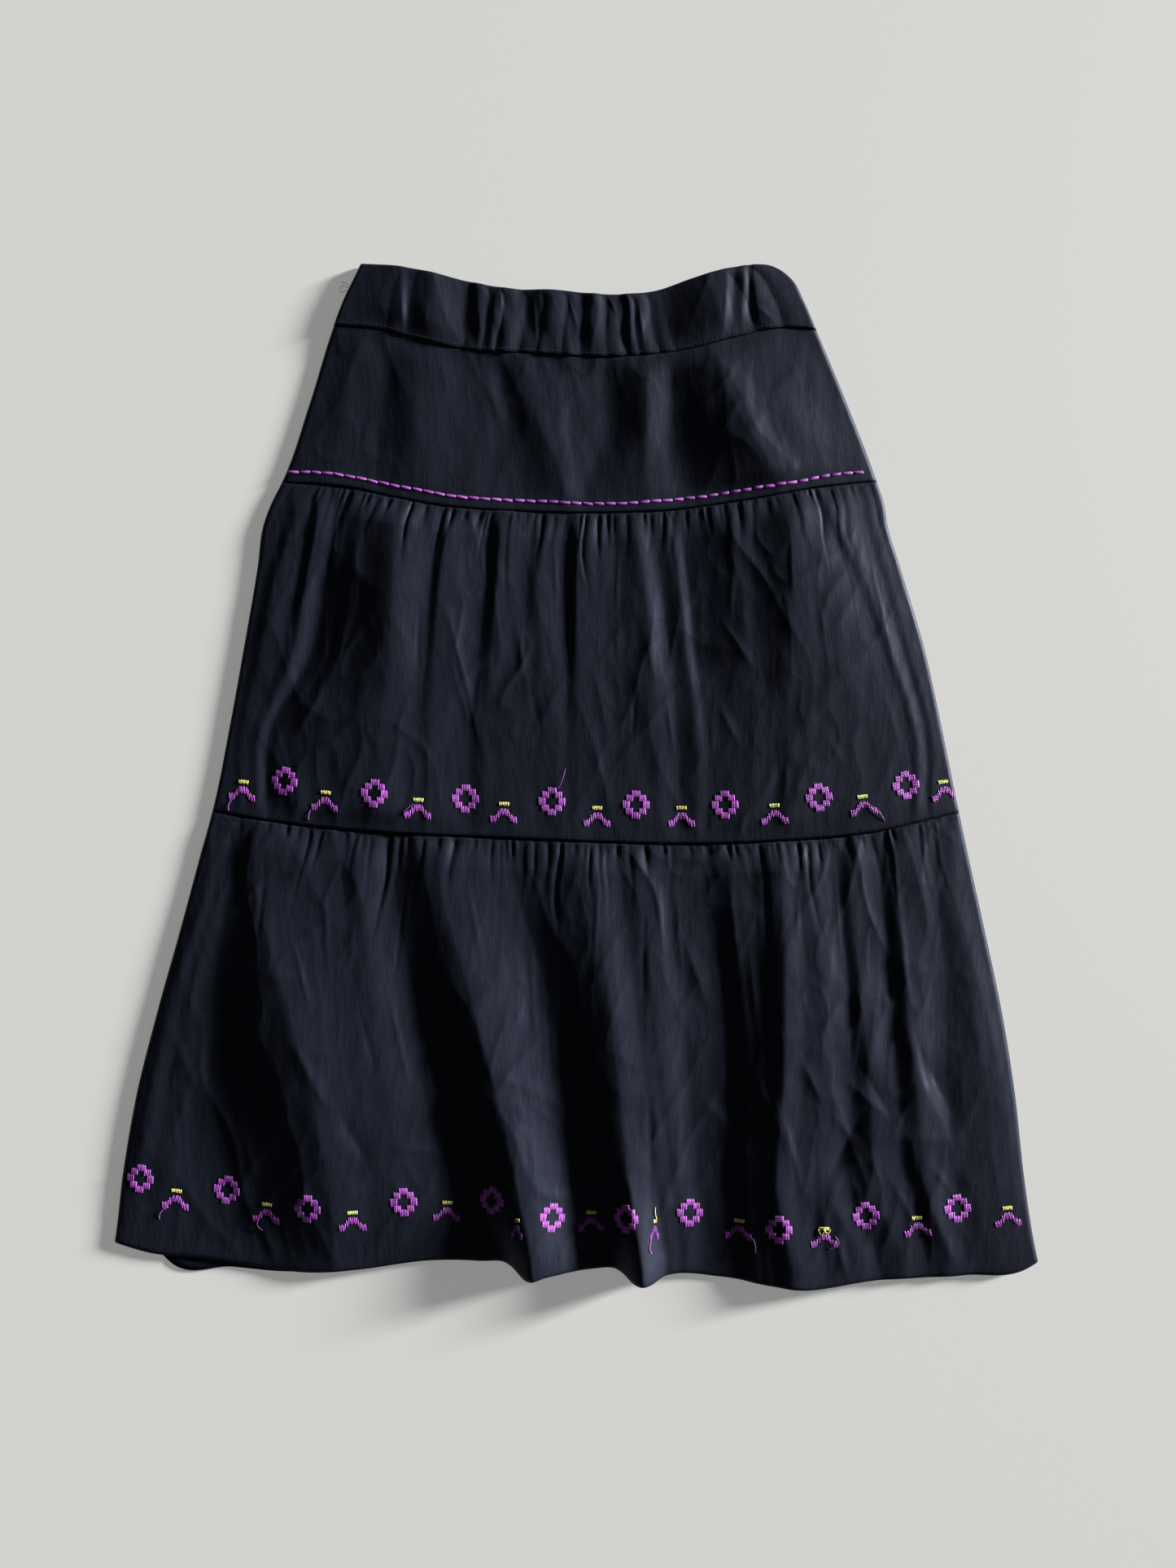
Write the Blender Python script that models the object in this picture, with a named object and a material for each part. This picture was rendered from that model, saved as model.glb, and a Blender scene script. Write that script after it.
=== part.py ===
"""Tiered skirt laid flat, front up, waist towards +Y: an elasticated waistband, a plain yoke, and a middle
and a bottom tier that are each gathered into the seam above. Every section is cut as a front and a back panel,
sewn at the sides. The back panels lie flat on the surface, and the front panels lie on them with their
gathers and folds.

Sizes are in millimetres, and MM turns them into Blender's metres. X is to the wearer's left, Y runs up the
skirt, and the origin is on the surface under the middle of the skirt.
"""

from collections import namedtuple

import bpy
import numpy as np

MM = 0.001

# Walls and clearances
CLOTH = 1.2  # wall of a cloth panel
CASING = 2.3  # wall of the waistband: two layers of cloth and the elastic between them
GAP = 0.3  # between panels, at the seams and where the front lies on the back
STEEPEST = 2.0  # slope past which a wall is measured no further from the vertical
SLOPE_STEP = 0.002  # share of a panel's width over which its slope is measured

Section = namedtuple("Section", "y left right")
Point = namedtuple("Point", "x y")
Crown = namedtuple("Crown", "v middle edge")
Fold = namedtuple("Fold", "places heights")
Gathers = namedtuple("Gathers", "valleys depths crests leans lengths")
Pull = namedtuple("Pull", "x depth crest")
Row = namedtuple("Row", "v columns")

# The two side edges, seen from above
OUTLINE = (
    Section(-300.0, -287.0, 284.2),
    Section(-286.0, -284.2, 281.3),
    Section(-245.5, -279.3, 275.2),
    Section(-195.5, -270.7, 269.7),
    Section(-145.5, -258.2, 261.7),
    Section(-95.5, -244.2, 251.2),
    Section(-45.5, -230.7, 240.2),
    Section(-22.0, -224.2, 235.2),
    Section(29.5, -213.7, 224.7),
    Section(79.5, -204.7, 213.7),
    Section(129.5, -196.2, 198.7),
    Section(154.5, -192.7, 191.2),
    Section(167.0, -188.2, 189.2),
    Section(181.0, -181.2, 184.7),
    Section(229.5, -164.2, 166.2),
    Section(276.0, -149.7, 146.7),
    Section(292.0, -143.7, 139.7),
    Section(306.0, -137.0, 131.5),
    Section(310.5, -134.8, 126.0),
    Section(314.5, -133.0, 119.0),
)

# The seams and the free edges, from the left side to the right
WAIST = (
    Point(-133.0, 314.5),
    Point(-109.0, 312.5),
    Point(-91.0, 309.0),
    Point(-67.0, 303.5),
    Point(-43.0, 299.2),
    Point(-13.0, 298.0),
    Point(23.0, 295.4),
    Point(47.0, 297.5),
    Point(71.0, 305.0),
    Point(95.0, 311.5),
    Point(110.0, 313.8),
    Point(118.0, 313.4),
    Point(126.0, 310.5),
)
WAIST_SEAM = (
    Point(-150.0, 277.0),
    Point(-118.0, 273.7),
    Point(-99.0, 268.5),
    Point(-67.0, 261.7),
    Point(-27.0, 259.5),
    Point(16.0, 257.5),
    Point(42.0, 258.7),
    Point(65.0, 261.3),
    Point(99.0, 269.9),
    Point(116.0, 274.0),
    Point(133.5, 275.3),
    Point(147.5, 274.2),
)
YOKE_SEAM = (
    Point(-181.3, 180.7),
    Point(-139.5, 177.2),
    Point(-112.0, 171.2),
    Point(-77.0, 165.5),
    Point(-40.0, 162.9),
    Point(20.0, 161.8),
    Point(61.0, 163.8),
    Point(100.0, 169.0),
    Point(152.6, 178.0),
    Point(184.5, 181.5),
)
TIER_SEAM = (
    Point(-224.2, -21.5),
    Point(-189.5, -27.5),
    Point(-127.0, -34.0),
    Point(-44.0, -38.0),
    Point(13.0, -40.5),
    Point(70.0, -41.6),
    Point(120.0, -40.0),
    Point(183.0, -34.0),
    Point(216.6, -26.5),
    Point(235.2, -22.0),
)
HEM = (
    Point(-284.2, -286.5),
    Point(-262.0, -293.0),
    Point(-232.0, -296.0),
    Point(-192.0, -302.0),
    Point(-172.0, -304.2),
    Point(-132.0, -302.5),
    Point(-92.0, -297.5),
    Point(-60.0, -298.0),
    Point(-40.0, -300.0),
    Point(-31.0, -306.5),
    Point(-18.0, -304.5),
    Point(9.0, -302.5),
    Point(28.0, -304.0),
    Point(35.0, -309.0),
    Point(45.0, -309.5),
    Point(53.0, -306.5),
    Point(88.0, -307.5),
    Point(118.0, -312.0),
    Point(142.0, -314.35),
    Point(178.0, -310.0),
    Point(238.0, -306.5),
    Point(276.0, -303.0),
    Point(284.0, -298.5),
)
# The back hem hangs a little below the front one at the left, and is hidden by it elsewhere
BACK_HEM = (
    Point(-283.6, -285.0),
    Point(-257.0, -292.5),
    Point(-251.0, -298.5),
    Point(-212.0, -302.0),
    Point(-176.0, -305.0),
    Point(-132.0, -301.0),
    Point(-60.0, -296.5),
    Point(9.0, -301.5),
    Point(88.0, -305.5),
    Point(142.0, -309.5),
    Point(238.0, -304.5),
    Point(283.0, -296.5),
)

# Height of the front's upper face at the middle and at the side edge, down each section from v = 0 to v = 1
CASING_CROWN = (Crown(0.0, 6.0, 5.1), Crown(0.5, 6.4, 5.4), Crown(1.0, 5.7, 5.1))
YOKE_CROWN = (Crown(0.0, 5.1, 4.4), Crown(0.2, 5.2, 3.2), Crown(0.6, 5.2, 2.8), Crown(1.0, 4.9, 2.9))
MIDDLE_CROWN = (Crown(0.0, 4.3, 2.8), Crown(0.08, 6.2, 3.0), Crown(0.5, 6.4, 2.9), Crown(1.0, 4.9, 2.9))
BOTTOM_CROWN = (
    Crown(0.0, 4.2, 2.8),
    Crown(0.07, 6.2, 3.0),
    Crown(0.5, 7.0, 3.0),
    Crown(0.85, 5.8, 2.9),
    Crown(1.0, 3.6, 2.8),
)
CROWN_RUN = 60.0  # how far in from the side edge the cloth reaches its middle height
EDGE_RELIEF = 0.25  # share of the folds' height that is left at the side edge
SOFTEST = 0.5  # how softly the cloth comes down on the back panel

# Folds, from the left side to the right: where each ridge or trough lies at each level, and its heights there
WAIST_LEVELS = (302.0, 285.0, 268.0)
WAIST_FOLDS = (
    Fold((-108, -107, -107), (2.2, 2.4, 1.8)),
    Fold((-103, -103, -102), (1.0, 1.1, 0.8)),
    Fold((-91, -92, -92), (2.0, 2.4, 2.0)),
    Fold((-66, -65, -63), (-0.9, -1.3, -1.2)),
    Fold((-61, -60, -58), (0.2, 0.4, 0.2)),
    Fold((-50, -52, -49), (-0.4, -0.2, -0.5)),
    Fold((-44, -47, -44), (0.5, 0.3, 0.4)),
    Fold((-30, -31, -27), (-0.5, -0.8, -0.4)),
    Fold((-22, -20, -21), (0.6, 0.5, 0.2)),
    Fold((0, 3, 4), (-0.4, -0.6, -0.5)),
    Fold((9, 13, 10), (0.6, 0.4, 0.4)),
    Fold((24, 25, 28), (-0.9, -1.2, -1.2)),
    Fold((30, 33, 33), (0.3, 0.4, 0.4)),
    Fold((48, 49, 47), (-1.4, -1.6, -1.4)),
    Fold((91, 90, 89), (2.8, 3.2, 2.8)),
    Fold((97, 96, 95), (1.6, 1.9, 1.6)),
    Fold((102, 101, 101), (2.0, 2.2, 1.8)),
    Fold((106, 107, 109), (0.6, 0.5, 0.8)),
    Fold((109, 111, 114), (1.4, 1.6, 1.2)),
)
YOKE_LEVELS = (255.0, 215.0, 175.0)
YOKE_FOLDS = (
    Fold((-138, -144, -154), (0.8, 1.0, 0.5)),
    Fold((-120, -121, -124), (-0.6, -1.0, -0.4)),
    Fold((-99, -98, -100), (1.4, 1.9, 0.9)),
    Fold((-60, -62, -64), (-0.6, -0.7, -0.3)),
    Fold((-47, -41, -36), (-1.4, -1.3, -1.0)),
    Fold((-34, -22, -7), (0.6, 1.0, 0.7)),
    Fold((18, 19, 6), (-2.0, -2.6, -1.4)),
    Fold((43, 43, 41), (2.0, 2.6, 1.4)),
    Fold((58, 60, 63), (-0.8, -1.9, -2.0)),
    Fold((85, 103, 125), (3.6, 6.0, 5.2)),
    Fold((108, 126, 146), (2.0, 3.6, 2.6)),
)
MIDDLE_LEVELS = (160.0, 125.0, 75.0, 20.0)
MIDDLE_FOLDS = (
    Fold((-179, -191, -201, -211), (-0.3, -0.6, -0.5, -0.3)),
    Fold((-173, -184, -194, -206), (0.6, 1.1, 0.9, 0.4)),
    Fold((-163, -169, -181, -201), (-1.0, -1.4, -0.8, 0.0)),
    Fold((-159, -165, -174, -196), (0.2, 0.1, 0.0, 0.2)),
    Fold((-148, -153, -164, -190), (-1.6, -2.4, -2.6, -1.6)),
    Fold((-142, -146, -153, -182), (-0.6, -0.8, -0.8, -0.4)),
    Fold((-131, -135, -144, -170), (1.0, 1.4, 1.0, 0.8)),
    Fold((-112, -112, -114, -122), (3.6, 5.6, 5.6, 3.2)),
    Fold((-83, -88, -92, -96), (0.6, 1.8, 2.2, 1.2)),
    Fold((-78, -83, -87, -91), (1.9, 2.9, 2.7, 1.3)),
    Fold((-53, -55, -60, -66), (-1.2, -0.8, -0.2, -0.4)),
    Fold((-46, -48, -52, -56), (1.0, 1.2, 1.0, 0.4)),
    Fold((-27, -30, -31, -26), (-0.7, -0.6, 0.0, 0.0)),
    Fold((-22, -24, -20, -13), (0.2, 0.3, 0.5, 0.4)),
    Fold((-5, -6, -6, -6), (-1.2, -1.3, -0.6, 0.0)),
    Fold((1, 0, 0, 0), (0.9, 0.9, 0.6, 0.2)),
    Fold((22, 25, 28, 26), (-0.9, -0.9, -0.4, -0.2)),
    Fold((35, 40, 46, 50), (0.2, 0.4, 0.5, 0.4)),
    Fold((47, 51, 57, 63), (-2.4, -2.5, -1.8, -0.8)),
    Fold((57, 62, 67, 74), (-0.8, -0.6, -0.2, 0.4)),
    Fold((64, 68, 73, 81), (-2.4, -2.4, -1.8, -0.3)),
    Fold((96, 100, 106, 112), (1.2, 1.8, 1.8, 1.0)),
    Fold((101, 106, 112, 119), (1.4, 1.9, 1.9, 1.0)),
    Fold((132, 133, 132, 130), (5.2, 6.0, 4.8, 2.0)),
    Fold((147, 153, 160, 160), (3.4, 4.2, 3.0, 0.9)),
    Fold((153, 169, 188, 204), (2.4, 1.9, 0.9, -0.2)),
    Fold((158, 174, 193, 209), (2.7, 2.3, 1.5, 0.7)),
    Fold((177, 187, 201, 215), (1.0, 0.8, 0.2, -0.4)),
    Fold((181, 191, 205, 219), (1.2, 1.1, 0.9, 0.6)),
)
BOTTOM_LEVELS = (-60.0, -125.0, -190.0, -250.0, -305.0)
BOTTOM_FOLDS = (
    Fold((-226, -246, -261, -273, -280), (0.8, 1.2, 1.4, 1.0, 0.5)),
    Fold((-220, -237, -250, -261, -268), (-0.4, -0.8, -1.0, -0.8, -0.5)),
    Fold((-212, -221, -225, -217, -202), (-1.4, -2.6, -3.0, -2.7, -1.3)),
    Fold((-196, -181, -162, -151, -148), (1.2, 5.2, 8.4, 6.4, 2.6)),
    Fold((-143, -138, -132, -124, -118), (-0.4, 2.2, 4.6, 3.0, 0.6)),
    Fold((-134, -127, -120, -112, -108), (0.6, 2.0, 3.6, 2.4, 0.8)),
    Fold((-112, -101, -85, -70, -48), (-1.6, -2.0, -2.2, -2.2, -2.4)),
    Fold((-84, -67, -50, -36, -27), (2.4, 5.2, 6.8, 8.8, 13.5)),
    Fold((-38, -20, -6, 4, 20), (-1.4, -2.4, -2.8, -3.2, -2.2)),
    Fold((10, 18, 26, 32, 40), (2.2, 4.6, 6.0, 8.0, 13.5)),
    Fold((27, 36, 44, 50, 56), (0.2, 1.4, 2.8, 3.2, 2.0)),
    Fold((36, 45, 52, 60, 66), (0.8, 1.5, 2.0, 1.6, 0.6)),
    Fold((56, 66, 70, 76, 84), (-0.9, -1.2, -1.4, -1.6, -1.6)),
    Fold((78, 90, 92, 92, 98), (-0.9, -1.6, -2.0, -1.8, -0.8)),
    Fold((96, 102, 108, 106, 112), (0.9, 1.2, 1.8, 1.8, 2.8)),
    Fold((106, 112, 115, 112, 119), (0.9, 2.2, 3.0, 3.0, 4.0)),
    Fold((125, 127, 126, 122, 132), (3.4, 5.6, 5.8, 5.4, 6.4)),
    Fold((135, 141, 139, 137, 156), (1.9, 3.4, 3.8, 3.4, 3.2)),
    Fold((142, 149, 150, 152, 172), (2.0, 3.4, 3.4, 2.8, 2.2)),
    Fold((159, 166, 168, 167, 186), (-0.2, 0.6, 1.0, 1.0, 0.6)),
    Fold((167, 173, 179, 183, 200), (0.9, 1.8, 2.4, 2.0, 1.2)),
    Fold((188, 192, 197, 202, 216), (-0.6, -0.6, 0.0, 0.2, 0.0)),
    Fold((195, 200, 208, 214, 228), (0.6, 1.2, 2.2, 1.8, 0.9)),
    Fold((220, 226, 227, 233, 244), (-0.6, -1.6, -1.4, -1.0, -0.4)),
    Fold((231, 246, 261, 268, 272), (0.8, 1.9, 2.0, 1.2, 0.6)),
)
FOLD_EDGE = 0.35  # how sharp a ridge is: 0 for a round one, 1 for a straight-sided one
LEVEL_OFF = 30.0  # past the first and the last level, where the folds run straight on

# Where the elastic draws the casing into a valley, and the rise of the crest to the right of it
PULLS = (
    Pull(-133.0, 0.0, 0.2),
    Pull(-106.0, 0.3, 0.2),
    Pull(-96.0, 0.3, 0.4),
    Pull(-64.0, 0.7, 0.4),
    Pull(-54.0, 0.3, 0.3),
    Pull(-46.0, 0.6, 0.5),
    Pull(-33.0, 0.3, 0.2),
    Pull(-23.0, 0.5, 0.6),
    Pull(-9.0, 0.3, 0.3),
    Pull(1.0, 0.6, 0.4),
    Pull(15.0, 0.3, 0.6),
    Pull(26.0, 0.8, 0.3),
    Pull(32.0, 0.3, 0.5),
    Pull(42.0, 0.5, 0.2),
    Pull(50.0, 0.3, 0.3),
    Pull(92.0, 0.4, 0.5),
    Pull(107.0, 0.7, 0.5),
    Pull(126.0, 0.0, 0.0),
)
MIDDLE_GATHERS = 54
BOTTOM_GATHERS = 64
GATHER_RISE = 0.35  # most that a gather rises from the cloth's middle height
GATHER_FALL = 1.5  # most that it falls to its valley
LEAST_RISE = 0.2  # share of both in the smallest gathers
GATHER_LEAN, LEAN_SPREAD = 0.7, 0.25  # power by which the crests lean to the left, and how much it varies
GATHER_START = 5.0  # below the seam, where the gathers reach their full height
LEAST_GATHER = 0.3  # share of that height which shows at the seam itself
SHORTEST, LONGEST = 12.0, 90.0  # how far down the gathers run; few run far
CASING_GATHER = 400.0  # the same for the waistband's gathers, which keep their height down to its seam
FOLD_START = 16.0  # off a seam, where the folds reach their full height
LEAST_FOLD = 0.2  # share of that height which shows at the seam itself

NAVY = (0.012, 0.014, 0.024, 1.0)


def through(points, at):
    """Smooth curve through (x, y) points, whose slopes at the points are the mean slopes there."""
    xs, ys = np.array(points, float).T
    slopes = np.gradient(ys, xs)
    left = np.clip(np.searchsorted(xs, at) - 1, 0, len(xs) - 2)
    span = xs[left + 1] - xs[left]
    t = np.clip((at - xs[left]) / span, 0, 1)
    start = (1 - t) ** 2 * ((1 + 2 * t) * ys[left] + t * span * slopes[left])
    end = t**2 * ((3 - 2 * t) * ys[left + 1] + (t - 1) * span * slopes[left + 1])
    return start + end


def side_edges(y):
    """x of the left and the right side edge at a height y."""
    left = [(section.y, section.left) for section in OUTLINE]
    right = [(section.y, section.right) for section in OUTLINE]
    return through(left, y), through(right, y)


def along(seam, u):
    """Points of a seam, evenly spaced in x from the left side edge (u = 0) to the right one (u = 1)."""
    start = side_edges(seam[0].y)[0]
    end = side_edges(seam[-1].y)[1]
    x = (1 - u) * start + u * end
    return x, through(seam, x)


def flat_place(top, bottom, u, v):
    """Place of (u, v) on a panel between its seams and the skirt's sides, and how far it is below the panel's
    upper edge and above its lower edge."""
    top_x, top_y = along(top, u)
    bottom_x, bottom_y = along(bottom, u)
    top_y = top_y - GAP / 2
    bottom_y = bottom_y + GAP / 2
    side = np.array([0.0, 1.0])
    top_ends, bottom_ends = along(top, side)[0], along(bottom, side)[0]
    left = side_edges((1 - v) * top[0].y + v * bottom[0].y)[0]
    right = side_edges((1 - v) * top[-1].y + v * bottom[-1].y)[1]
    bulge_left = left - ((1 - v) * top_ends[0] + v * bottom_ends[0])
    bulge_right = right - ((1 - v) * top_ends[1] + v * bottom_ends[1])
    x = (1 - v) * top_x + v * bottom_x + (1 - u) * bulge_left + u * bulge_right
    y = (1 - v) * top_y + v * bottom_y
    return x, y, np.maximum(top_y - y, 0), np.maximum(y - bottom_y, 0)


def bump(t):
    """1 at t = 0, falling smoothly to 0 at t = 1 and beyond."""
    return 0.5 + 0.5 * np.cos(np.pi * np.clip(np.abs(t), 0, 1))


def down_the_panel(levels, values, y):
    """Smooth course of a value given at some levels down a panel. Past the first and the last it stays."""
    rising = np.concatenate([[levels[-1] - LEVEL_OFF], levels[::-1], [levels[0] + LEVEL_OFF]])
    return through(np.stack([rising, np.pad(values[::-1], 1, mode="edge")], axis=-1), y)


def folded(levels, folds, x, y):
    """Height of the folds: a soft step across from each ridge or trough to the next, and 0 at the sides."""
    left, right = side_edges(y)
    places = [left] + [down_the_panel(levels, fold.places, y) for fold in folds] + [right]
    heights = [0 * y] + [down_the_panel(levels, fold.heights, y) for fold in folds] + [0 * y]
    total = 0 * y
    for k in range(len(places) - 1):
        t = np.clip((x - places[k]) / (places[k + 1] - places[k]), 0, 1)
        total += (heights[k + 1] - heights[k]) * (FOLD_EDGE * t + (1 - FOLD_EDGE) * t * t * (3 - 2 * t))
    return total


def off_seam(distance):
    """Share of the folds' height at a distance from a seam."""
    return LEAST_FOLD + (1 - LEAST_FOLD) * (1 - bump(distance / FOLD_START))


def even_gathers(count, seed):
    """Gathers of uneven width, height, lean and length, from one side edge to the other."""
    rng = np.random.default_rng(seed)
    widths = 1 + 0.7 * rng.uniform(-1, 1, count)
    valleys = np.concatenate([[0], np.cumsum(widths)]) / widths.sum()
    depths = GATHER_FALL * (LEAST_RISE + (1 - LEAST_RISE) * rng.uniform(0, 1, count + 1) ** 2)
    crests = GATHER_RISE * (LEAST_RISE + (1 - LEAST_RISE) * rng.uniform(0, 1, count) ** 2)
    lengths = SHORTEST + (LONGEST - SHORTEST) * rng.uniform(0, 1, count + 1) ** 3
    leans = GATHER_LEAN + LEAN_SPREAD * rng.uniform(-1, 1, count)
    return Gathers(valleys, depths, crests, leans, lengths)


def casing_gathers():
    """Gathers of the waistband, which run its whole height."""
    pulls = np.array(PULLS)
    valleys = (pulls[:, 0] - pulls[0, 0]) / (pulls[-1, 0] - pulls[0, 0])
    leans, lengths = np.ones(len(pulls) - 1), np.full(len(pulls), CASING_GATHER)
    return Gathers(valleys, pulls[:, 1], pulls[:-1, 2], leans, lengths)


def gather_height(gathers, u, below):
    """Sine crests between valleys, small at the seam, full just below it, and then fading out downwards."""
    valleys = gathers.valleys
    k = np.clip(np.searchsorted(valleys, u, side="right") - 1, 0, len(valleys) - 2)
    t = (u - valleys[k]) / (valleys[k + 1] - valleys[k])
    crest = np.sin(np.pi * t ** gathers.leans[k])

    def fade(index):
        return bump(below / gathers.lengths[index])

    valley = (1 - t) * gathers.depths[k] * fade(k) + t * gathers.depths[k + 1] * fade(k + 1)
    start = LEAST_GATHER + (1 - LEAST_GATHER) * (1 - bump(below / GATHER_START))
    return start * (crest * gathers.crests[k] * fade(k) - (1 - crest) * valley)


def crown_height(crown, x, y, v):
    """The cloth's middle height, which rounds up from the side edges, and the share of relief there."""
    rows = np.array(crown)
    left, right = side_edges(y)
    rise = 1 - (1 - np.clip(np.minimum(x - left, right - x) / CROWN_RUN, 0, 1)) ** 2
    edge = np.interp(v, rows[:, 0], rows[:, 2])
    middle = edge + rise * (np.interp(v, rows[:, 0], rows[:, 1]) - edge)
    return middle, EDGE_RELIEF + (1 - EDGE_RELIEF) * rise


def upper_face(panel, u, v):
    """Points of a front panel's upper face at parameters u, across, and v, down from its upper seam."""
    x, y, below, above = flat_place(panel["top"], panel["bottom"], u, v)
    middle, share = crown_height(panel["crown"], x, y, v)
    relief = panel["settled"](below, above) * folded(panel["levels"], panel["folds"], x, y)
    if panel["gathers"]:
        relief = relief + gather_height(panel["gathers"], u, below)
    least = panel["rest"] + GAP + panel["wall"]
    above = middle + share * relief - least
    z = least + SOFTEST * np.logaddexp(0, above / SOFTEST)
    return np.stack([x, y, z], axis=-1)


def lower_face(panel, u, v):
    """Points of its lower face: the wall's thickness under the upper face, measured square to the slope."""
    here = upper_face(panel, u, v)
    before = upper_face(panel, np.clip(u - SLOPE_STEP, 0, 1), v)
    after = upper_face(panel, np.clip(u + SLOPE_STEP, 0, 1), v)
    slope = (after[:, 2] - before[:, 2]) / (after[:, 0] - before[:, 0])
    drop = panel["wall"] * np.sqrt(1 + np.clip(slope, -STEEPEST, STEEPEST) ** 2)
    here[:, 2] = np.maximum(here[:, 2] - drop, panel["rest"] + GAP)
    return here


def columns(valleys, parts):
    """Places across a panel: each stretch between two valleys cut into equal parts."""
    steps = np.arange(parts) / parts
    return np.append((valleys[:-1, None] + np.diff(valleys)[:, None] * steps).ravel(), 1.0)


def strip(upper, lower):
    """Triangles between two rows of (place across, vertex index), which may have different counts."""
    triangles = []
    i = j = 0
    while i < len(upper) - 1 or j < len(lower) - 1:
        take_upper = j == len(lower) - 1 or (i < len(upper) - 1 and upper[i + 1][0] <= lower[j + 1][0])
        if take_upper:
            triangles.append((upper[i][1], lower[j][1], upper[i + 1][1]))
            i += 1
        else:
            triangles.append((upper[i][1], lower[j][1], lower[j + 1][1]))
            j += 1
    return triangles


def walled_panel(name, upper, lower, upper_rows, lower_rows, material):
    """One closed wall: rows of points down the upper face and back up the lower face, joined at all edges."""
    points = []
    ladder = []
    for face, rows in ((upper, upper_rows), (lower, lower_rows[::-1])):
        for row in rows:
            made = face(row.columns, np.full(len(row.columns), row.v))
            first = len(points)
            points.extend(made * MM)
            ladder.append([(place, first + i) for i, place in enumerate(row.columns)])
    faces = []
    for k, row in enumerate(ladder):
        faces.extend(strip(row, ladder[(k + 1) % len(ladder)]))
    for k in range(len(upper_rows) - 1):
        over, over_next = ladder[k], ladder[k + 1]
        under, under_next = ladder[-1 - k], ladder[-2 - k]
        faces.append((over_next[0][1], over[0][1], under[0][1], under_next[0][1]))
        faces.append((over[-1][1], over_next[-1][1], under_next[-1][1], under[-1][1]))
    mesh = bpy.data.meshes.new(name)
    mesh.from_pydata([tuple(point) for point in points], [], faces)
    mesh.materials.append(material)
    panel = bpy.data.objects.new(name, mesh)
    bpy.context.scene.collection.objects.link(panel)
    return panel


def front_panel(name, material, **panel):
    """A front panel, with the same rows on both faces."""
    upper_rows = panel.pop("upper_rows")
    lower_rows = panel.pop("lower_rows")
    walled_panel(
        name,
        lambda u, v: upper_face(panel, u, v),
        lambda u, v: lower_face(panel, u, v),
        upper_rows,
        lower_rows,
        material,
    )


def back_panel(name, material, top, bottom, thickness, rows):
    """A back panel: a flat wall that lies on the surface."""

    def face(height):
        def at(u, v):
            x, y = flat_place(top, bottom, u, v)[:2]
            return np.stack([x, y, np.full(len(x), height)], axis=-1)

        return at

    walled_panel(name, face(thickness), face(0.0), rows, rows, material)


def gathered_rows(gathers, near, middle, far, far_columns):
    """Rows of a gathered tier: four columns a gather near the seam, two below, then the given columns to its
    lower edge. The lower face has two columns a gather from the seam on."""
    fine, plain = columns(gathers.valleys, 4), columns(gathers.valleys, 2)
    below = [Row(v, plain) for v in middle] + [Row(v, far_columns) for v in far]
    return [Row(v, fine) for v in near] + below, [Row(v, plain) for v in near] + below


def cloth_material():
    material = bpy.data.materials.new("navy sateen")
    material.use_nodes = True
    shader = material.node_tree.nodes["Principled BSDF"]
    shader.inputs["Base Color"].default_value = NAVY
    shader.inputs["Roughness"].default_value = 0.5
    shader.inputs["Metallic"].default_value = 0.0
    return material


def waistband(material):
    gathers = casing_gathers()
    rows = [Row(v, columns(gathers.valleys, 4)) for v in (0.0, 0.25, 0.75, 1.0)]
    front_panel(
        "waistband_front",
        material,
        top=WAIST,
        bottom=WAIST_SEAM,
        crown=CASING_CROWN,
        levels=WAIST_LEVELS,
        folds=WAIST_FOLDS,
        settled=lambda below, above: 1.0,
        gathers=gathers,
        wall=CASING,
        rest=CASING,
        upper_rows=rows,
        lower_rows=rows,
    )
    back_rows = [Row(v, np.linspace(0, 1, 25)) for v in (0.0, 0.5, 1.0)]
    back_panel("waistband_back", material, WAIST, WAIST_SEAM, CASING, back_rows)


def yoke(material):
    rows = [Row(v, np.linspace(0, 1, 43)) for v in (0.0, 0.1, 0.25, 0.45, 0.7, 0.9, 1.0)]
    front_panel(
        "yoke_front",
        material,
        top=WAIST_SEAM,
        bottom=YOKE_SEAM,
        crown=YOKE_CROWN,
        levels=YOKE_LEVELS,
        folds=YOKE_FOLDS,
        settled=lambda below, above: off_seam(below) * off_seam(above),
        gathers=None,
        wall=CLOTH,
        rest=CLOTH,
        upper_rows=rows,
        lower_rows=rows,
    )
    back_rows = [Row(v, np.linspace(0, 1, 25)) for v in (0.0, 0.5, 1.0)]
    back_panel("yoke_back", material, WAIST_SEAM, YOKE_SEAM, CLOTH, back_rows)


def middle_tier(material):
    gathers = even_gathers(MIDDLE_GATHERS, seed=3)
    upper_rows, lower_rows = gathered_rows(
        gathers,
        near=(0.0, 0.012, 0.035),
        middle=(0.08, 0.15, 0.25),
        far=(0.37, 0.5, 0.63, 0.77, 0.9, 1.0),
        far_columns=gathers.valleys,
    )
    front_panel(
        "middle_tier_front",
        material,
        top=YOKE_SEAM,
        bottom=TIER_SEAM,
        crown=MIDDLE_CROWN,
        levels=MIDDLE_LEVELS,
        folds=MIDDLE_FOLDS,
        settled=lambda below, above: off_seam(below) * off_seam(above),
        gathers=gathers,
        wall=CLOTH,
        rest=CLOTH,
        upper_rows=upper_rows,
        lower_rows=lower_rows,
    )
    back_rows = [Row(v, np.linspace(0, 1, 25)) for v in (0.0, 0.12, 0.4, 0.7, 1.0)]
    back_panel("middle_tier_back", material, YOKE_SEAM, TIER_SEAM, CLOTH, back_rows)


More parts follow.
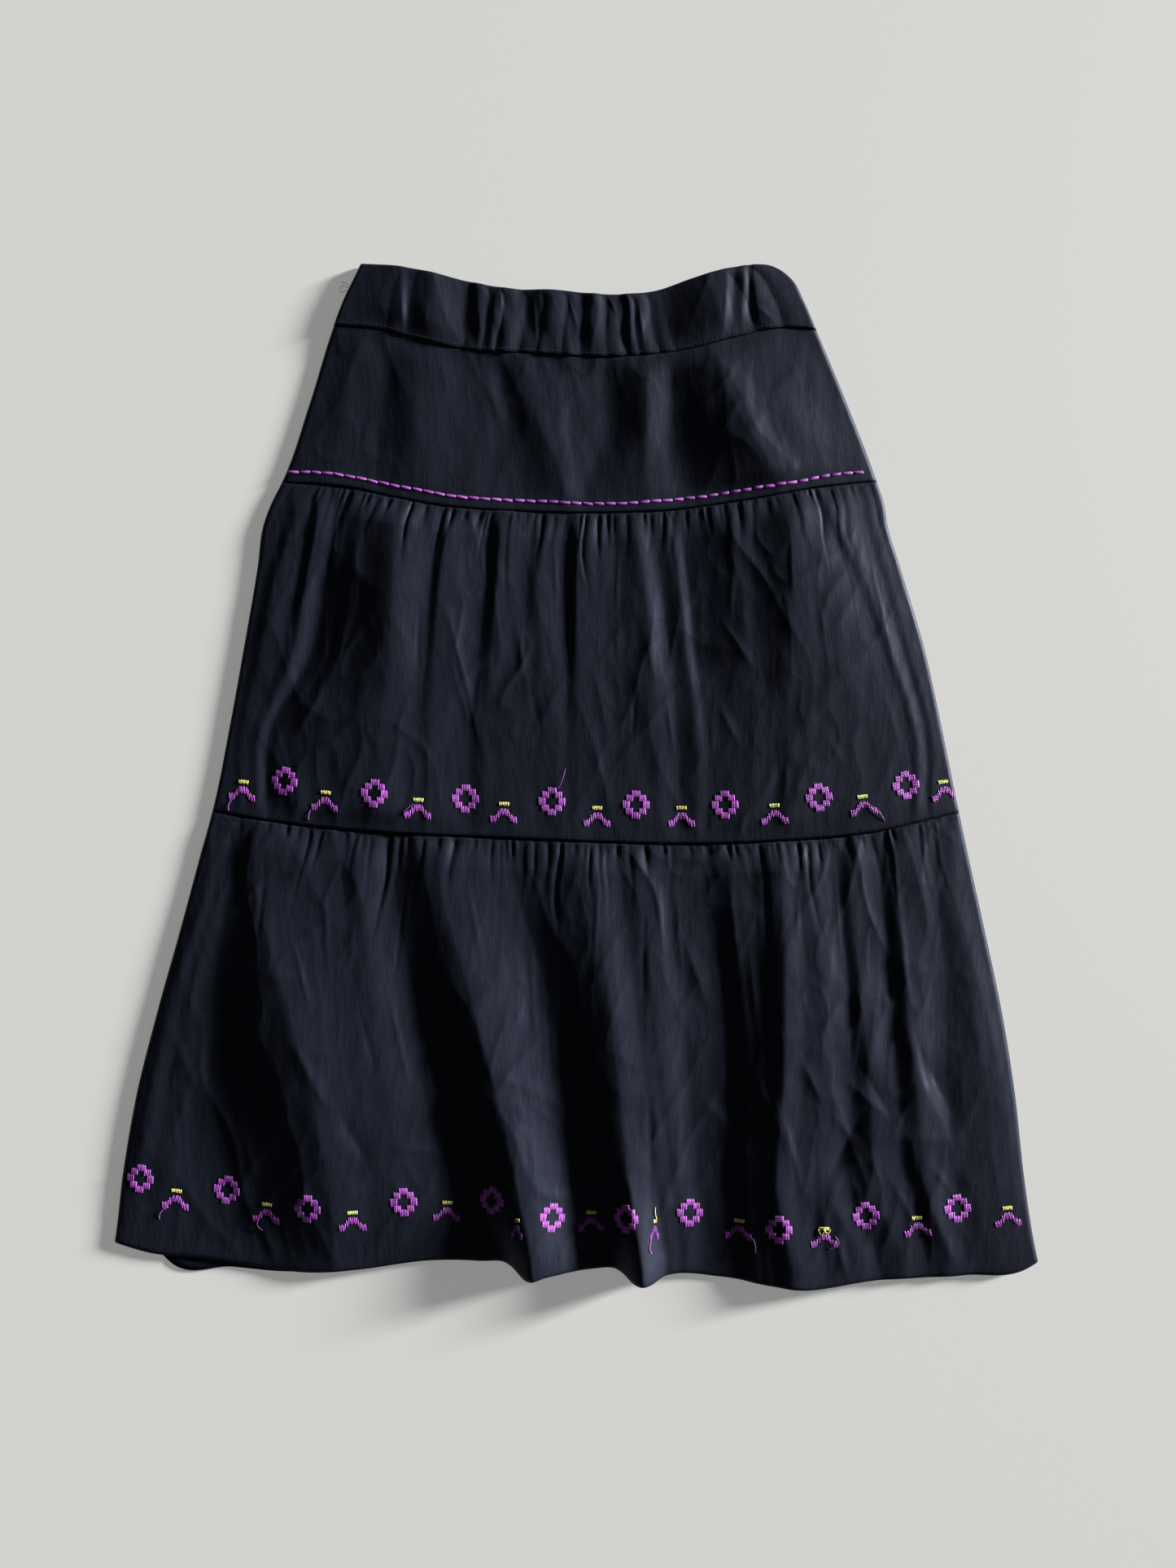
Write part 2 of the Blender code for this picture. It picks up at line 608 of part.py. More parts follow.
def bottom_tier(material):
    gathers = even_gathers(BOTTOM_GATHERS, seed=8)
    hem_places = np.array([-40.0, -31.0, -18.0, 28.0, 35.0, 45.0, 53.0])
    left, right = HEM[0].x, HEM[-1].x
    far_columns = np.union1d(gathers.valleys, (hem_places - left) / (right - left))
    upper_rows, lower_rows = gathered_rows(
        gathers,
        near=(0.0, 0.01, 0.028),
        middle=(0.06, 0.11, 0.19),
        far=(0.28, 0.38, 0.48, 0.58, 0.68, 0.78, 0.89, 1.0),
        far_columns=far_columns,
    )
    front_panel(
        "bottom_tier_front",
        material,
        top=TIER_SEAM,
        bottom=HEM,
        crown=BOTTOM_CROWN,
        levels=BOTTOM_LEVELS,
        folds=BOTTOM_FOLDS,
        settled=lambda below, above: off_seam(below),
        gathers=gathers,
        wall=CLOTH,
        rest=CLOTH,
        upper_rows=upper_rows,
        lower_rows=lower_rows,
    )
    back_rows = [Row(v, np.linspace(0, 1, 41)) for v in (0.0, 0.25, 0.5, 0.75, 1.0)]
    back_panel("bottom_tier_back", material, TIER_SEAM, BACK_HEM, CLOTH, back_rows)


for old in list(bpy.data.objects):
    bpy.data.objects.remove(old, do_unlink=True)
bpy.context.scene.unit_settings.system = "METRIC"
bpy.context.scene.unit_settings.scale_length = 1.0
cloth = cloth_material()
waistband(cloth)
yoke(cloth)
middle_tier(cloth)
bottom_tier(cloth)
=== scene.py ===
"""The looks of an embroidered skirt laid flat, front up, waist towards +Y: navy sateen panels as thin
shells in the folds they lie in, with topstitching, a running stitch and satin-stitch borders.

Tables give places on the skirt in millimetres, seen from above, with the origin under its middle, and MM
turns them into metres. Seams and main folds lie where the solids have them. Finer creases are added here.
"""

from collections import namedtuple

import bpy
import numpy as np
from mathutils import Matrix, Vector


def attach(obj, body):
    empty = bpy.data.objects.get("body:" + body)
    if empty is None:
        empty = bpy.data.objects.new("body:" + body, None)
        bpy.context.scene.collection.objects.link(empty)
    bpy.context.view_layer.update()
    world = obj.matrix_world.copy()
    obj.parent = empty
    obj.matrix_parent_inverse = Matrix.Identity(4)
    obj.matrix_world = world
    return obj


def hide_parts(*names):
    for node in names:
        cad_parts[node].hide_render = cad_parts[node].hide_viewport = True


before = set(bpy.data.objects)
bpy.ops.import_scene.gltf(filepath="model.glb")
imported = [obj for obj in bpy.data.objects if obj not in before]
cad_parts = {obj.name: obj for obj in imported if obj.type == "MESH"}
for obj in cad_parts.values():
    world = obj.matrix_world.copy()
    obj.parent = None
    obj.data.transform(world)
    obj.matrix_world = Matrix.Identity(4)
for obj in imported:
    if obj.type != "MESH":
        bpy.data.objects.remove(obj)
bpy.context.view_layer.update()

# Back panels
# Four pieces of navy cotton sateen, cut between slanting sides and sewn edge to edge: waistband, yoke and
# two tiers. The back lies flat on the surface, so its gathers are pressed into shallow grooves, and its hem
# shows at the left.
Section = namedtuple("Section", "y left right")
Point = namedtuple("Point", "x y")
Back = namedtuple("Back", "top bottom groove")
MM = 0.001
CLOTH = 0.5
CASING_BACK = 1.4
BACK_REST = 0.45
BACK_WAVES = 0.25
GROOVE_RUN = 60
LEAST_GROOVE = 0.25
SIDE_ROUND = 3
LATTICE = 64
NAVY_DEEP = (0.0060, 0.0072, 0.0130, 1.0)
NAVY_BRIGHT = (0.0105, 0.0122, 0.0205, 1.0)
COOL_SHINE = (0.58, 0.68, 1.0, 1.0)
SIDES = (
    Section(-300.0, -287.0, 284.2),
    Section(-286.0, -284.2, 281.3),
    Section(-245.5, -279.3, 275.2),
    Section(-195.5, -270.7, 269.7),
    Section(-145.5, -258.2, 261.7),
    Section(-95.5, -244.2, 251.2),
    Section(-45.5, -230.7, 240.2),
    Section(-22.0, -224.2, 235.2),
    Section(29.5, -213.7, 224.7),
    Section(79.5, -204.7, 213.7),
    Section(129.5, -196.2, 198.7),
    Section(154.5, -192.7, 191.2),
    Section(167.0, -188.2, 189.2),
    Section(181.0, -181.2, 184.7),
    Section(229.5, -164.2, 166.2),
    Section(276.0, -149.7, 146.7),
    Section(292.0, -143.7, 139.7),
    Section(306.0, -137.0, 131.5),
    Section(310.5, -134.8, 126.0),
    Section(314.5, -133.0, 119.0),
)
WAIST = (
    Point(-133.0, 314.5),
    Point(-109.0, 312.5),
    Point(-91.0, 309.0),
    Point(-67.0, 303.5),
    Point(-43.0, 299.2),
    Point(-13.0, 298.0),
    Point(23.0, 295.4),
    Point(47.0, 297.5),
    Point(71.0, 305.0),
    Point(95.0, 311.5),
    Point(110.0, 313.8),
    Point(118.0, 313.4),
    Point(126.0, 310.5),
)
WAIST_SEAM = (
    Point(-150.0, 277.0),
    Point(-118.0, 273.7),
    Point(-99.0, 268.5),
    Point(-67.0, 261.7),
    Point(-27.0, 259.5),
    Point(16.0, 257.5),
    Point(42.0, 258.7),
    Point(65.0, 261.3),
    Point(99.0, 269.9),
    Point(116.0, 274.0),
    Point(133.5, 275.3),
    Point(147.5, 274.2),
)
YOKE_SEAM = (
    Point(-181.3, 180.7),
    Point(-139.5, 177.2),
    Point(-112.0, 171.2),
    Point(-77.0, 165.5),
    Point(-40.0, 162.9),
    Point(20.0, 161.8),
    Point(61.0, 163.8),
    Point(100.0, 169.0),
    Point(152.6, 178.0),
    Point(184.5, 181.5),
)
TIER_SEAM = (
    Point(-224.2, -21.5),
    Point(-189.5, -27.5),
    Point(-127.0, -34.0),
    Point(-44.0, -38.0),
    Point(13.0, -40.5),
    Point(70.0, -41.6),
    Point(120.0, -40.0),
    Point(183.0, -34.0),
    Point(216.6, -26.5),
    Point(235.2, -22.0),
)
BACK_HEM = (
    Point(-283.6, -285.0),
    Point(-257.0, -292.5),
    Point(-251.0, -298.5),
    Point(-212.0, -302.0),
    Point(-176.0, -305.0),
    Point(-132.0, -301.0),
    Point(-60.0, -296.5),
    Point(9.0, -301.5),
    Point(88.0, -305.5),
    Point(142.0, -309.5),
    Point(238.0, -304.5),
    Point(283.0, -296.5),
)
SEAM_GAP = 0.03


def through(points, at):
    """Smooth curve through (x, y) points: cubic spans that meet at the mean slope of their neighbours."""
    xs, ys = np.array(points, float).T
    slopes = np.gradient(ys, xs)
    left = np.clip(np.searchsorted(xs, at) - 1, 0, len(xs) - 2)
    span = xs[left + 1] - xs[left]
    t = np.clip((at - xs[left]) / span, 0, 1)
    start = (1 - t) ** 2 * ((1 + 2 * t) * ys[left] + t * span * slopes[left])
    end = t**2 * ((3 - 2 * t) * ys[left + 1] + (t - 1) * span * slopes[left + 1])
    return start + end


def side_edges(y):
    """x of the left and the right side edge at the heights y."""
    left = [(section.y, section.left) for section in SIDES]
    right = [(section.y, section.right) for section in SIDES]
    return through(left, y), through(right, y)


def seam_ends(seam):
    """x of a seam's two ends, which lie on the skirt's side edges."""
    return side_edges(seam[0].y)[0], side_edges(seam[-1].y)[1]


def panel_sides(top, bottom, v):
    """x of a panel's left and right edge at the share v of the way from its upper to its lower seam."""
    left = side_edges((1 - v) * top[0].y + v * bottom[0].y)[0]
    right = side_edges((1 - v) * top[-1].y + v * bottom[-1].y)[1]
    return left, right


def seam_heights(top, bottom, u):
    """y of a panel's upper and lower edge at the share u of the way across, both clear of the seam."""
    edges = []
    for seam, gap in ((top, -SEAM_GAP), (bottom, SEAM_GAP)):
        start, end = seam_ends(seam)
        edges.append(through(seam, (1 - u) * start + u * end) + gap)
    return edges


def on_panel(top, bottom, u, v):
    """Place of (u, v) on a panel, by straight shares, with y of its upper and its lower edge there."""
    left, right = panel_sides(top, bottom, v)
    top_y, bottom_y = seam_heights(top, bottom, u)
    return (1 - u) * left + u * right, (1 - v) * top_y + v * bottom_y, top_y, bottom_y


def bump(t):
    """1 at t = 0, falling smoothly to 0 at t = 1 and beyond."""
    return 0.5 + 0.5 * np.cos(np.pi * np.clip(np.abs(t), 0, 1))


def soft_noise(x, y, cell, stretch, seed):
    """Random values from -1 to 1 on a lattice of cells longer than they are wide, joined smoothly."""
    table = np.random.default_rng(seed).uniform(-1, 1, (LATTICE, LATTICE))
    across, down = x / cell, y / (cell * stretch)
    i, j = np.floor(across).astype(int), np.floor(down).astype(int)
    s, t = across - i, down - j
    s, t = s * s * (3 - 2 * s), t * t * (3 - 2 * t)
    left, right, top, bottom = (index % LATTICE for index in (i, i + 1, j, j + 1))
    upper = (1 - s) * table[left, top] + s * table[right, top]
    lower = (1 - s) * table[left, bottom] + s * table[right, bottom]
    return (1 - t) * upper + t * lower


def grid_quads(rows, columns, first):
    """Quads of a grid of points numbered row by row, facing up when the rows run down the skirt."""
    index = first + np.arange(rows * columns).reshape(rows, columns)
    quads = np.stack([index[:-1, :-1], index[1:, :-1], index[1:, 1:], index[:-1, 1:]], axis=-1)
    return quads.reshape(-1, 4), index


def rim(fine, coarse):
    """Triangles between a row of points and a row with every second one of them."""
    start, middle, end = fine[:-2:2], fine[1::2], fine[2::2]
    here, after = coarse[:-1], coarse[1:]
    three = np.stack([start, middle, here, middle, after, here, middle, end, after], axis=-1)
    return three.reshape(-1, 3)


def smooth_object(name, points, faces, material):
    """A smooth-shaded object at the origin, from an array of points in millimetres."""
    mesh = bpy.data.meshes.new(name)
    mesh.from_pydata((points * MM).tolist(), [], faces)
    mesh.shade_smooth()
    mesh.materials.append(material)
    made = bpy.data.objects.new(name, mesh)
    bpy.context.scene.collection.objects.link(made)
    return made


def cloth_shell(name, outer, under, material):
    """A closed shell from a fine grid of points and one of half its rows and columns under it, joined by a
    narrow rim. Its UV map has the cloth's own metres, measured along each row and down the middle."""
    rows, columns = outer.shape[:2]
    upper_quads, o = grid_quads(rows, columns, 0)
    under_quads, i = grid_quads(*under.shape[:2], rows * columns)
    top_rim = rim(o[0, ::-1], i[0, ::-1])
    right_rim = rim(o[::-1, -1], i[::-1, -1])
    rims = np.concatenate([top_rim, rim(o[-1], i[-1]), rim(o[:, 0], i[:, 0]), right_rim])
    faces = upper_quads.tolist() + under_quads[:, ::-1].tolist() + rims[:, ::-1].tolist()
    points = np.concatenate([outer.reshape(-1, 3), under.reshape(-1, 3)])
    made = smooth_object(name, points, faces, material)
    steps = np.linalg.norm(np.diff(outer, axis=1), axis=-1)
    width = np.concatenate([np.zeros((rows, 1)), np.cumsum(steps, axis=1)], axis=1)
    width -= width[:, [columns // 2]]
    steps_down = np.linalg.norm(np.diff(outer[:, columns // 2], axis=0), axis=-1)
    drop = np.concatenate([[0], np.cumsum(steps_down)])
    cloth = np.stack([width, np.broadcast_to(-drop[:, None], width.shape)], axis=-1) * MM
    at_points = np.concatenate([cloth.reshape(-1, 2), cloth[::2, ::2].reshape(-1, 2)])
    corners = np.empty(len(made.data.loops), int)
    made.data.loops.foreach_get("vertex_index", corners)
    made.data.uv_layers.new(name="cloth").data.foreach_set("uv", at_points[corners].ravel())
    return made


def new_node(material, kind, **sockets):
    """A shader node whose named input sockets hold the given values."""
    node = material.node_tree.nodes.new(kind)
    for name, value in sockets.items():
        node.inputs[name.replace("_", " ")].default_value = value
    return node


def spread(material, value, low, high):
    """The middle of a noise's range, spread between two values."""
    node = new_node(material, "ShaderNodeMapRange", From_Min=0.3, From_Max=0.7, To_Min=low, To_Max=high)
    material.node_tree.links.new(value, node.inputs["Value"])
    return node.outputs["Result"]


def raised(material, height, distance, strength, under=None):
    """A bump of the given depth in metres, on top of another."""
    node = new_node(material, "ShaderNodeBump", Distance=distance, Strength=strength)
    material.node_tree.links.new(height, node.inputs["Height"])
    if under:
        material.node_tree.links.new(under, node.inputs["Normal"])
    return node.outputs["Normal"]


def sateen():
    """Nearly black navy with a cool shine, streaks along the warp, a fine diagonal weave and crinkles."""
    material = bpy.data.materials.new("navy sateen")
    material.use_nodes = True
    nodes, links = material.node_tree.nodes, material.node_tree.links
    shader = nodes["Principled BSDF"]
    shader.inputs["Specular IOR Level"].default_value = 0.22
    shader.inputs["Specular Tint"].default_value = COOL_SHINE
    cloth = nodes.new("ShaderNodeUVMap")
    cloth.uv_map = "cloth"

    def noise(scale, stretch, detail):
        """Noise on the cloth, finer across the warp than along it."""
        mapping = new_node(material, "ShaderNodeMapping", Scale=(scale, scale / stretch, scale))
        texture = new_node(material, "ShaderNodeTexNoise", Scale=1.0, Detail=detail)
        links.new(cloth.outputs["UV"], mapping.inputs["Vector"])
        links.new(mapping.outputs["Vector"], texture.inputs["Vector"])
        return texture.outputs["Fac"]

    streaks = noise(scale=1500, stretch=28, detail=3)
    patches = noise(scale=90, stretch=3, detail=4)
    crinkles = noise(scale=130, stretch=2.2, detail=5)
    tone = nodes.new("ShaderNodeMix")
    tone.data_type = "RGBA"
    tone.inputs["A"].default_value = NAVY_DEEP
    tone.inputs["B"].default_value = NAVY_BRIGHT
    links.new(spread(material, streaks, low=0.0, high=1.0), tone.inputs["Factor"])
    links.new(tone.outputs["Result"], shader.inputs["Base Color"])
    links.new(spread(material, patches, low=0.48, high=0.58), shader.inputs["Roughness"])
    weave = new_node(material, "ShaderNodeTexWave", Scale=900)
    weave.bands_direction = "DIAGONAL"
    links.new(cloth.outputs["UV"], weave.inputs["Vector"])
    crinkled = raised(material, crinkles, distance=0.0012, strength=0.35)
    streaked = raised(material, streaks, distance=0.00012, strength=0.5, under=crinkled)
    woven = raised(material, weave.outputs["Fac"], distance=0.00005, strength=0.3, under=streaked)
    links.new(woven, shader.inputs["Normal"])
    return material


def back_face(back, u, v):
    """Underside of a back panel, in millimetres: at rest just above the surface, lifted in the grooves of
    its gathers, which fade down from its seam, and in slight waves, and rounded up at the skirt's sides."""
    x, y, top_y, _ = on_panel(back.top, back.bottom, u, v)
    left, right = side_edges(y)
    edge = np.minimum(x - left, right - x)
    fade = LEAST_GROOVE + (1 - LEAST_GROOVE) * bump(np.maximum(top_y - y, 0) / GROOVE_RUN)
    pressed = back.groove * np.clip(soft_noise(x, y, 5.5, 9.0, 31), 0, 1) ** 2 * fade
    waves = BACK_WAVES * np.clip(soft_noise(x, y, 30, 3.0, 32), 0, 1)
    round_up = CLOTH * (1 - np.sqrt(1 - (1 - np.clip(edge / SIDE_ROUND, 0, 1)) ** 2))
    return np.stack([x, y, BACK_REST + pressed + waves + round_up], axis=-1)


def laid_back(name, back, rows, columns, thickness):
    """A back panel: its underside, and its upper face at a cloth's thickness above it."""
    v, u = np.meshgrid(np.linspace(0, 1, rows), np.linspace(0, 1, columns), indexing="ij")
    low = back_face(back, u, v)
    return cloth_shell(name, low + (0, 0, thickness), low[::2, ::2], navy)


navy = sateen()
waistband_back = Back(WAIST, WAIST_SEAM, groove=0.9)
yoke_back = Back(WAIST_SEAM, YOKE_SEAM, groove=0.3)
middle_back = Back(YOKE_SEAM, TIER_SEAM, groove=0.7)
bottom_back = Back(TIER_SEAM, BACK_HEM, groove=0.7)
back_pieces = (
    laid_back("waistband_back_cloth", waistband_back, 31, 241, CASING_BACK),
    laid_back("yoke_back_cloth", yoke_back, 41, 161, CLOTH),
    laid_back("middle_tier_back_cloth", middle_back, 61, 241, CLOTH),
    laid_back("bottom_tier_back_cloth", bottom_back, 61, 241, CLOTH),
)
for piece in back_pieces:
    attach(piece, "root")
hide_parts("waistband_back")
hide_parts("yoke_back")
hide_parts("middle_tier_back")
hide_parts("bottom_tier_back")

# Waistband front
# A casing of the same cloth folded over wide elastic, which draws it in unevenly: broad smooth stretches at
# the sides and a row of small puckers at the front. Its lower edge is sewn to the yoke.
Crown = namedtuple("Crown", "v middle edge")
Fold = namedtuple("Fold", "places heights")
Crease = namedtuple("Crease", "x0 y0 x1 y1 width height")
Gathers = namedtuple("Gathers", "valleys depths crests leans lengths")
Pull = namedtuple("Pull", "x depth crest")
Wrinkle = namedtuple("Wrinkle", "lean cell stretch height")
Panel = namedtuple("Panel", "top bottom crown relief wall tuck")
CASING = 2.3
GAP = 0.3
CROWN_RUN = 60.0
SOFTEST = 0.5
SIDE_RELIEF = 0.25
SIDE_ROLL = 2.5
TUCK_RUN = 1.0
LOWER_TUCK = 0.3
LOWER_RUN = 0.8
THINNEST = 0.25
UNDER_CLEAR = 0.1
TIGHT_HELD = 0.4
EDGED = 0.35
LEVEL_OFF = 30.0
AT_SEAM = 0.3
WIDE_START = 5.0
SEWN_DOWN = 0.75
SEWN_RUN = 14
PUCKER_MIDDLE = -8
PUCKER_REACH = 74
PUCKER_HEIGHT = 0.5
PULL_RUN = 400.0
CASING_CRUMPLE = 0.6
WRINKLES = (Wrinkle(0.35, 34, 2.2, 0.7), Wrinkle(-0.5, 21, 1.7, 0.5), Wrinkle(0.0, 11, 2.4, 0.25))
WRINKLE_MEAN = 0.4
CASING_CROWN = (Crown(0.0, 6.0, 5.1), Crown(0.5, 6.4, 5.4), Crown(1.0, 5.7, 5.1))
PULLS = (
    Pull(-133.0, 0.0, 0.2),
    Pull(-106.0, 0.3, 0.2),
    Pull(-96.0, 0.3, 0.4),
    Pull(-64.0, 0.7, 0.4),
    Pull(-54.0, 0.3, 0.3),
    Pull(-46.0, 0.6, 0.5),
    Pull(-33.0, 0.3, 0.2),
    Pull(-23.0, 0.5, 0.6),
    Pull(-9.0, 0.3, 0.3),
    Pull(1.0, 0.6, 0.4),
    Pull(15.0, 0.3, 0.6),
    Pull(26.0, 0.8, 0.3),
    Pull(32.0, 0.3, 0.5),
    Pull(42.0, 0.5, 0.2),
    Pull(50.0, 0.3, 0.3),
    Pull(92.0, 0.4, 0.5),
    Pull(107.0, 0.7, 0.5),
    Pull(126.0, 0.0, 0.0),
)
WAIST_LEVELS = (302.0, 285.0, 268.0)
WAIST_FOLDS = (
    Fold((-108, -107, -107), (2.2, 2.4, 1.8)),
    Fold((-103, -103, -102), (1.0, 1.1, 0.8)),
    Fold((-91, -92, -92), (2.0, 2.4, 2.0)),
    Fold((-66, -65, -63), (-0.9, -1.3, -1.2)),
    Fold((-61, -60, -58), (0.2, 0.4, 0.2)),
    Fold((-50, -52, -49), (-0.4, -0.2, -0.5)),
    Fold((-44, -47, -44), (0.5, 0.3, 0.4)),
    Fold((-30, -31, -27), (-0.5, -0.8, -0.4)),
    Fold((-22, -20, -21), (0.6, 0.5, 0.2)),
    Fold((0, 3, 4), (-0.4, -0.6, -0.5)),
    Fold((9, 13, 10), (0.6, 0.4, 0.4)),
    Fold((24, 25, 28), (-0.9, -1.2, -1.2)),
    Fold((30, 33, 33), (0.3, 0.4, 0.4)),
    Fold((48, 49, 47), (-1.4, -1.6, -1.4)),
    Fold((91, 90, 89), (2.8, 3.2, 2.8)),
    Fold((97, 96, 95), (1.6, 1.9, 1.6)),
    Fold((102, 101, 101), (2.0, 2.2, 1.8)),
    Fold((106, 107, 109), (0.6, 0.5, 0.8)),
    Fold((109, 111, 114), (1.4, 1.6, 1.2)),
)
WAIST_CREASES = (
    Crease(-106, 312, -107, 268, 2.2, 0.2),
    Crease(-47, 300, -44, 275, 2.6, 0.35),
    Crease(-27, 299, -24, 262, 2.0, 0.4),
    Crease(-6, 298, 2, 268, 2.4, 0.4),
    Crease(18, 297, 26, 280, 2.2, 0.4),
    Crease(37, 298, 42, 258, 2.4, 0.45),
    Crease(92, 311, 90, 266, 2.0, 0.2),
    Crease(104, 314, 109, 280, 3.0, -0.4),
    Crease(112, 288, 138, 302, 4.0, 0.5),
    Crease(108, 290, 124, 276, 4.0, 0.4),
)


def gather_height(gathers, u, below, start_run):
    """Sine crests that lean to one side, between sharp valleys. They are small at the seam, full just below
    it, and then fade out downwards."""
    valleys = gathers.valleys
    k = np.clip(np.searchsorted(valleys, u, side="right") - 1, 0, len(valleys) - 2)
    t = (u - valleys[k]) / (valleys[k + 1] - valleys[k])
    crest = np.sin(np.pi * t ** gathers.leans[k])
    here, after = bump(below / gathers.lengths[k]), bump(below / gathers.lengths[k + 1])
    valley = (1 - t) * gathers.depths[k] * here + t * gathers.depths[k + 1] * after
    start = AT_SEAM + (1 - AT_SEAM) * (1 - bump(below / start_run))
    return start * (crest * gathers.crests[k] * here - (1 - crest) * valley)


def down_the_panel(levels, values, y):
    """Smooth course of a value given at some levels down a panel, constant past the first and the last."""
    rising = np.concatenate([[levels[-1] - LEVEL_OFF], levels[::-1], [levels[0] + LEVEL_OFF]])
    return through(np.stack([rising, np.pad(values[::-1], 1, mode="edge")], axis=-1), y)


def folded(levels, folds, x, y):
    """Height of the folds at (x, y): a soft step across from each ridge or trough to the next, with a
    slight edge at both. A fold has an x and a height at each level, and the side edges lie at 0."""
    left, right = side_edges(y)
    places = [left] + [down_the_panel(levels, fold.places, y) for fold in folds] + [right]
    heights = [0 * y] + [down_the_panel(levels, fold.heights, y) for fold in folds] + [0 * y]
    total = 0 * y
    for k in range(len(places) - 1):
        t = np.clip((x - places[k]) / (places[k + 1] - places[k]), 0, 1)
        total += (heights[k + 1] - heights[k]) * (EDGED * t + (1 - EDGED) * t * t * (3 - 2 * t))
    return total


def crease_height(crease, x, y):
    """A sharp straight crease with hollow flanks, highest halfway between its points and gone at them."""
    along_x, along_y = crease.x1 - crease.x0, crease.y1 - crease.y0
    length = np.hypot(along_x, along_y)
    t = ((x - crease.x0) * along_x + (y - crease.y0) * along_y) / length**2
    across = ((x - crease.x0) * along_y - (y - crease.y0) * along_x) / length
    profile = np.clip(1 - np.abs(across) / crease.width, 0, 1) ** 2
    return crease.height * profile * bump(2 * t - 1)


def crumple(x, y, seed):
    """Small handling creases in patches: sharp lines where smooth noise passes zero, in three directions
    and sizes, with x and y bent by a slower noise first."""
    bent = x + 7 * soft_noise(x, y, 37, 1.0, seed + 3)
    down = y + 9 * soft_noise(x, y, 43, 1.0, seed + 4)
    lines = 0 * x
    for k, wrinkle in enumerate(WRINKLES):
        noise = soft_noise(bent + wrinkle.lean * down, down, wrinkle.cell, wrinkle.stretch, seed + k)
        lines += wrinkle.height * (1 - np.abs(noise)) ** 3
    patches = np.clip(0.7 + 0.8 * soft_noise(x, y, 52, 1.3, seed + 5), 0.1, 1.5)
    fine = 0.1 * soft_noise(bent, down, 6, 3.5, seed + 6) + 0.25 * soft_noise(bent, down, 17, 2.0, seed + 7)
    return patches * (lines - WRINKLE_MEAN) + fine


def front_face(panel, u, v):
    """Upper face of a front panel. The crown's height at the middle falls in a parabola to its height at
    the sides, the relief is added, softly held above the back panel, and the edges are rounded down."""
    x, y, top_y, bottom_y = on_panel(panel.top, panel.bottom, u, v)
    left, right = side_edges(y)
    edge = np.minimum(x - left, right - x)
    below, above = np.maximum(top_y - y, 0), np.maximum(y - bottom_y, 0)
    rise = 1 - (1 - np.clip(edge / CROWN_RUN, 0, 1)) ** 2
    crown = np.array(panel.crown)
    low = np.interp(v, crown[:, 0], crown[:, 2])
    middle = low + rise * (np.interp(v, crown[:, 0], crown[:, 1]) - low)
    least = 2 * panel.wall + GAP
    relief = (SIDE_RELIEF + (1 - SIDE_RELIEF) * rise) * panel.relief(x, y, u, below, above)
    z = least + SOFTEST * np.logaddexp(0, (middle + relief - least) / SOFTEST)
    round_side = 1 - np.sqrt(np.clip(1 - (1 - np.clip(edge / SIDE_ROLL, 0, 1)) ** 2, 0, 1))
    z = z - (z - panel.wall - GAP) * round_side
    z = z - panel.tuck * bump(below / TUCK_RUN) - LOWER_TUCK * bump(above / LOWER_RUN)
    return np.stack([x, y, z], axis=-1)


def under_face(points, thickness, least, tight_rows):
    """Every second point, moved in by the thickness along the normal, and kept under its neighbours in the
    rows near the seam, where the cloth is gathered most."""
    across, down = np.gradient(points, axis=1), np.gradient(points, axis=0)
    normal = np.cross(down, across)
    normal /= np.linalg.norm(normal, axis=-1, keepdims=True)
    inner = (points - thickness * normal)[::2, ::2].copy()
    height = np.pad(points[..., 2], 2, mode="edge")
    rows, columns = points.shape[:2]
    neighbours = [height[i : i + rows, j : j + columns] for i in (0, 2, 4) for j in range(5)]
    lowest = np.min(neighbours, axis=0)[::2, ::2] - thickness
    tight = np.clip(1 + TIGHT_HELD - np.arange(len(inner)) / max(tight_rows, 1), 0, 1)[:, None]
    inner[..., 2] = (1 - tight) * inner[..., 2] + tight * np.minimum(inner[..., 2], lowest)
    edge = points[::2, ::2, :2]
    inner[[0, -1], :, :2] = edge[[0, -1]]
    inner[:, [0, -1], :2] = edge[:, [0, -1]]
    highest = points[::2, ::2, 2] - THINNEST * thickness
    inner[..., 2] = np.minimum(np.maximum(inner[..., 2], least), highest)
    return inner


def laid_front(name, panel, rows, columns, ratio, tight_rows):
    """A front panel's shell. The rows are closest together at the seam, by the given ratio."""
    steps = np.linspace(1, ratio, rows - 1)
    down = np.concatenate([[0], np.cumsum(steps)]) / steps.sum()
    v, u = np.meshgrid(down, np.linspace(0, 1, columns), indexing="ij")
    points = front_face(panel, u, v)
    under = under_face(points, CLOTH, panel.wall + UNDER_CLEAR, tight_rows)
    return cloth_shell(name, points, under, navy)


pulls = np.array(PULLS)
casing_valleys = (pulls[:, 0] - pulls[0, 0]) / (pulls[-1, 0] - pulls[0, 0])
casing_leans = np.ones(len(pulls) - 1)
casing_lengths = np.full(len(pulls), PULL_RUN)
casing_gathers = Gathers(casing_valleys, pulls[:, 1], pulls[:-1, 2], casing_leans, casing_lengths)


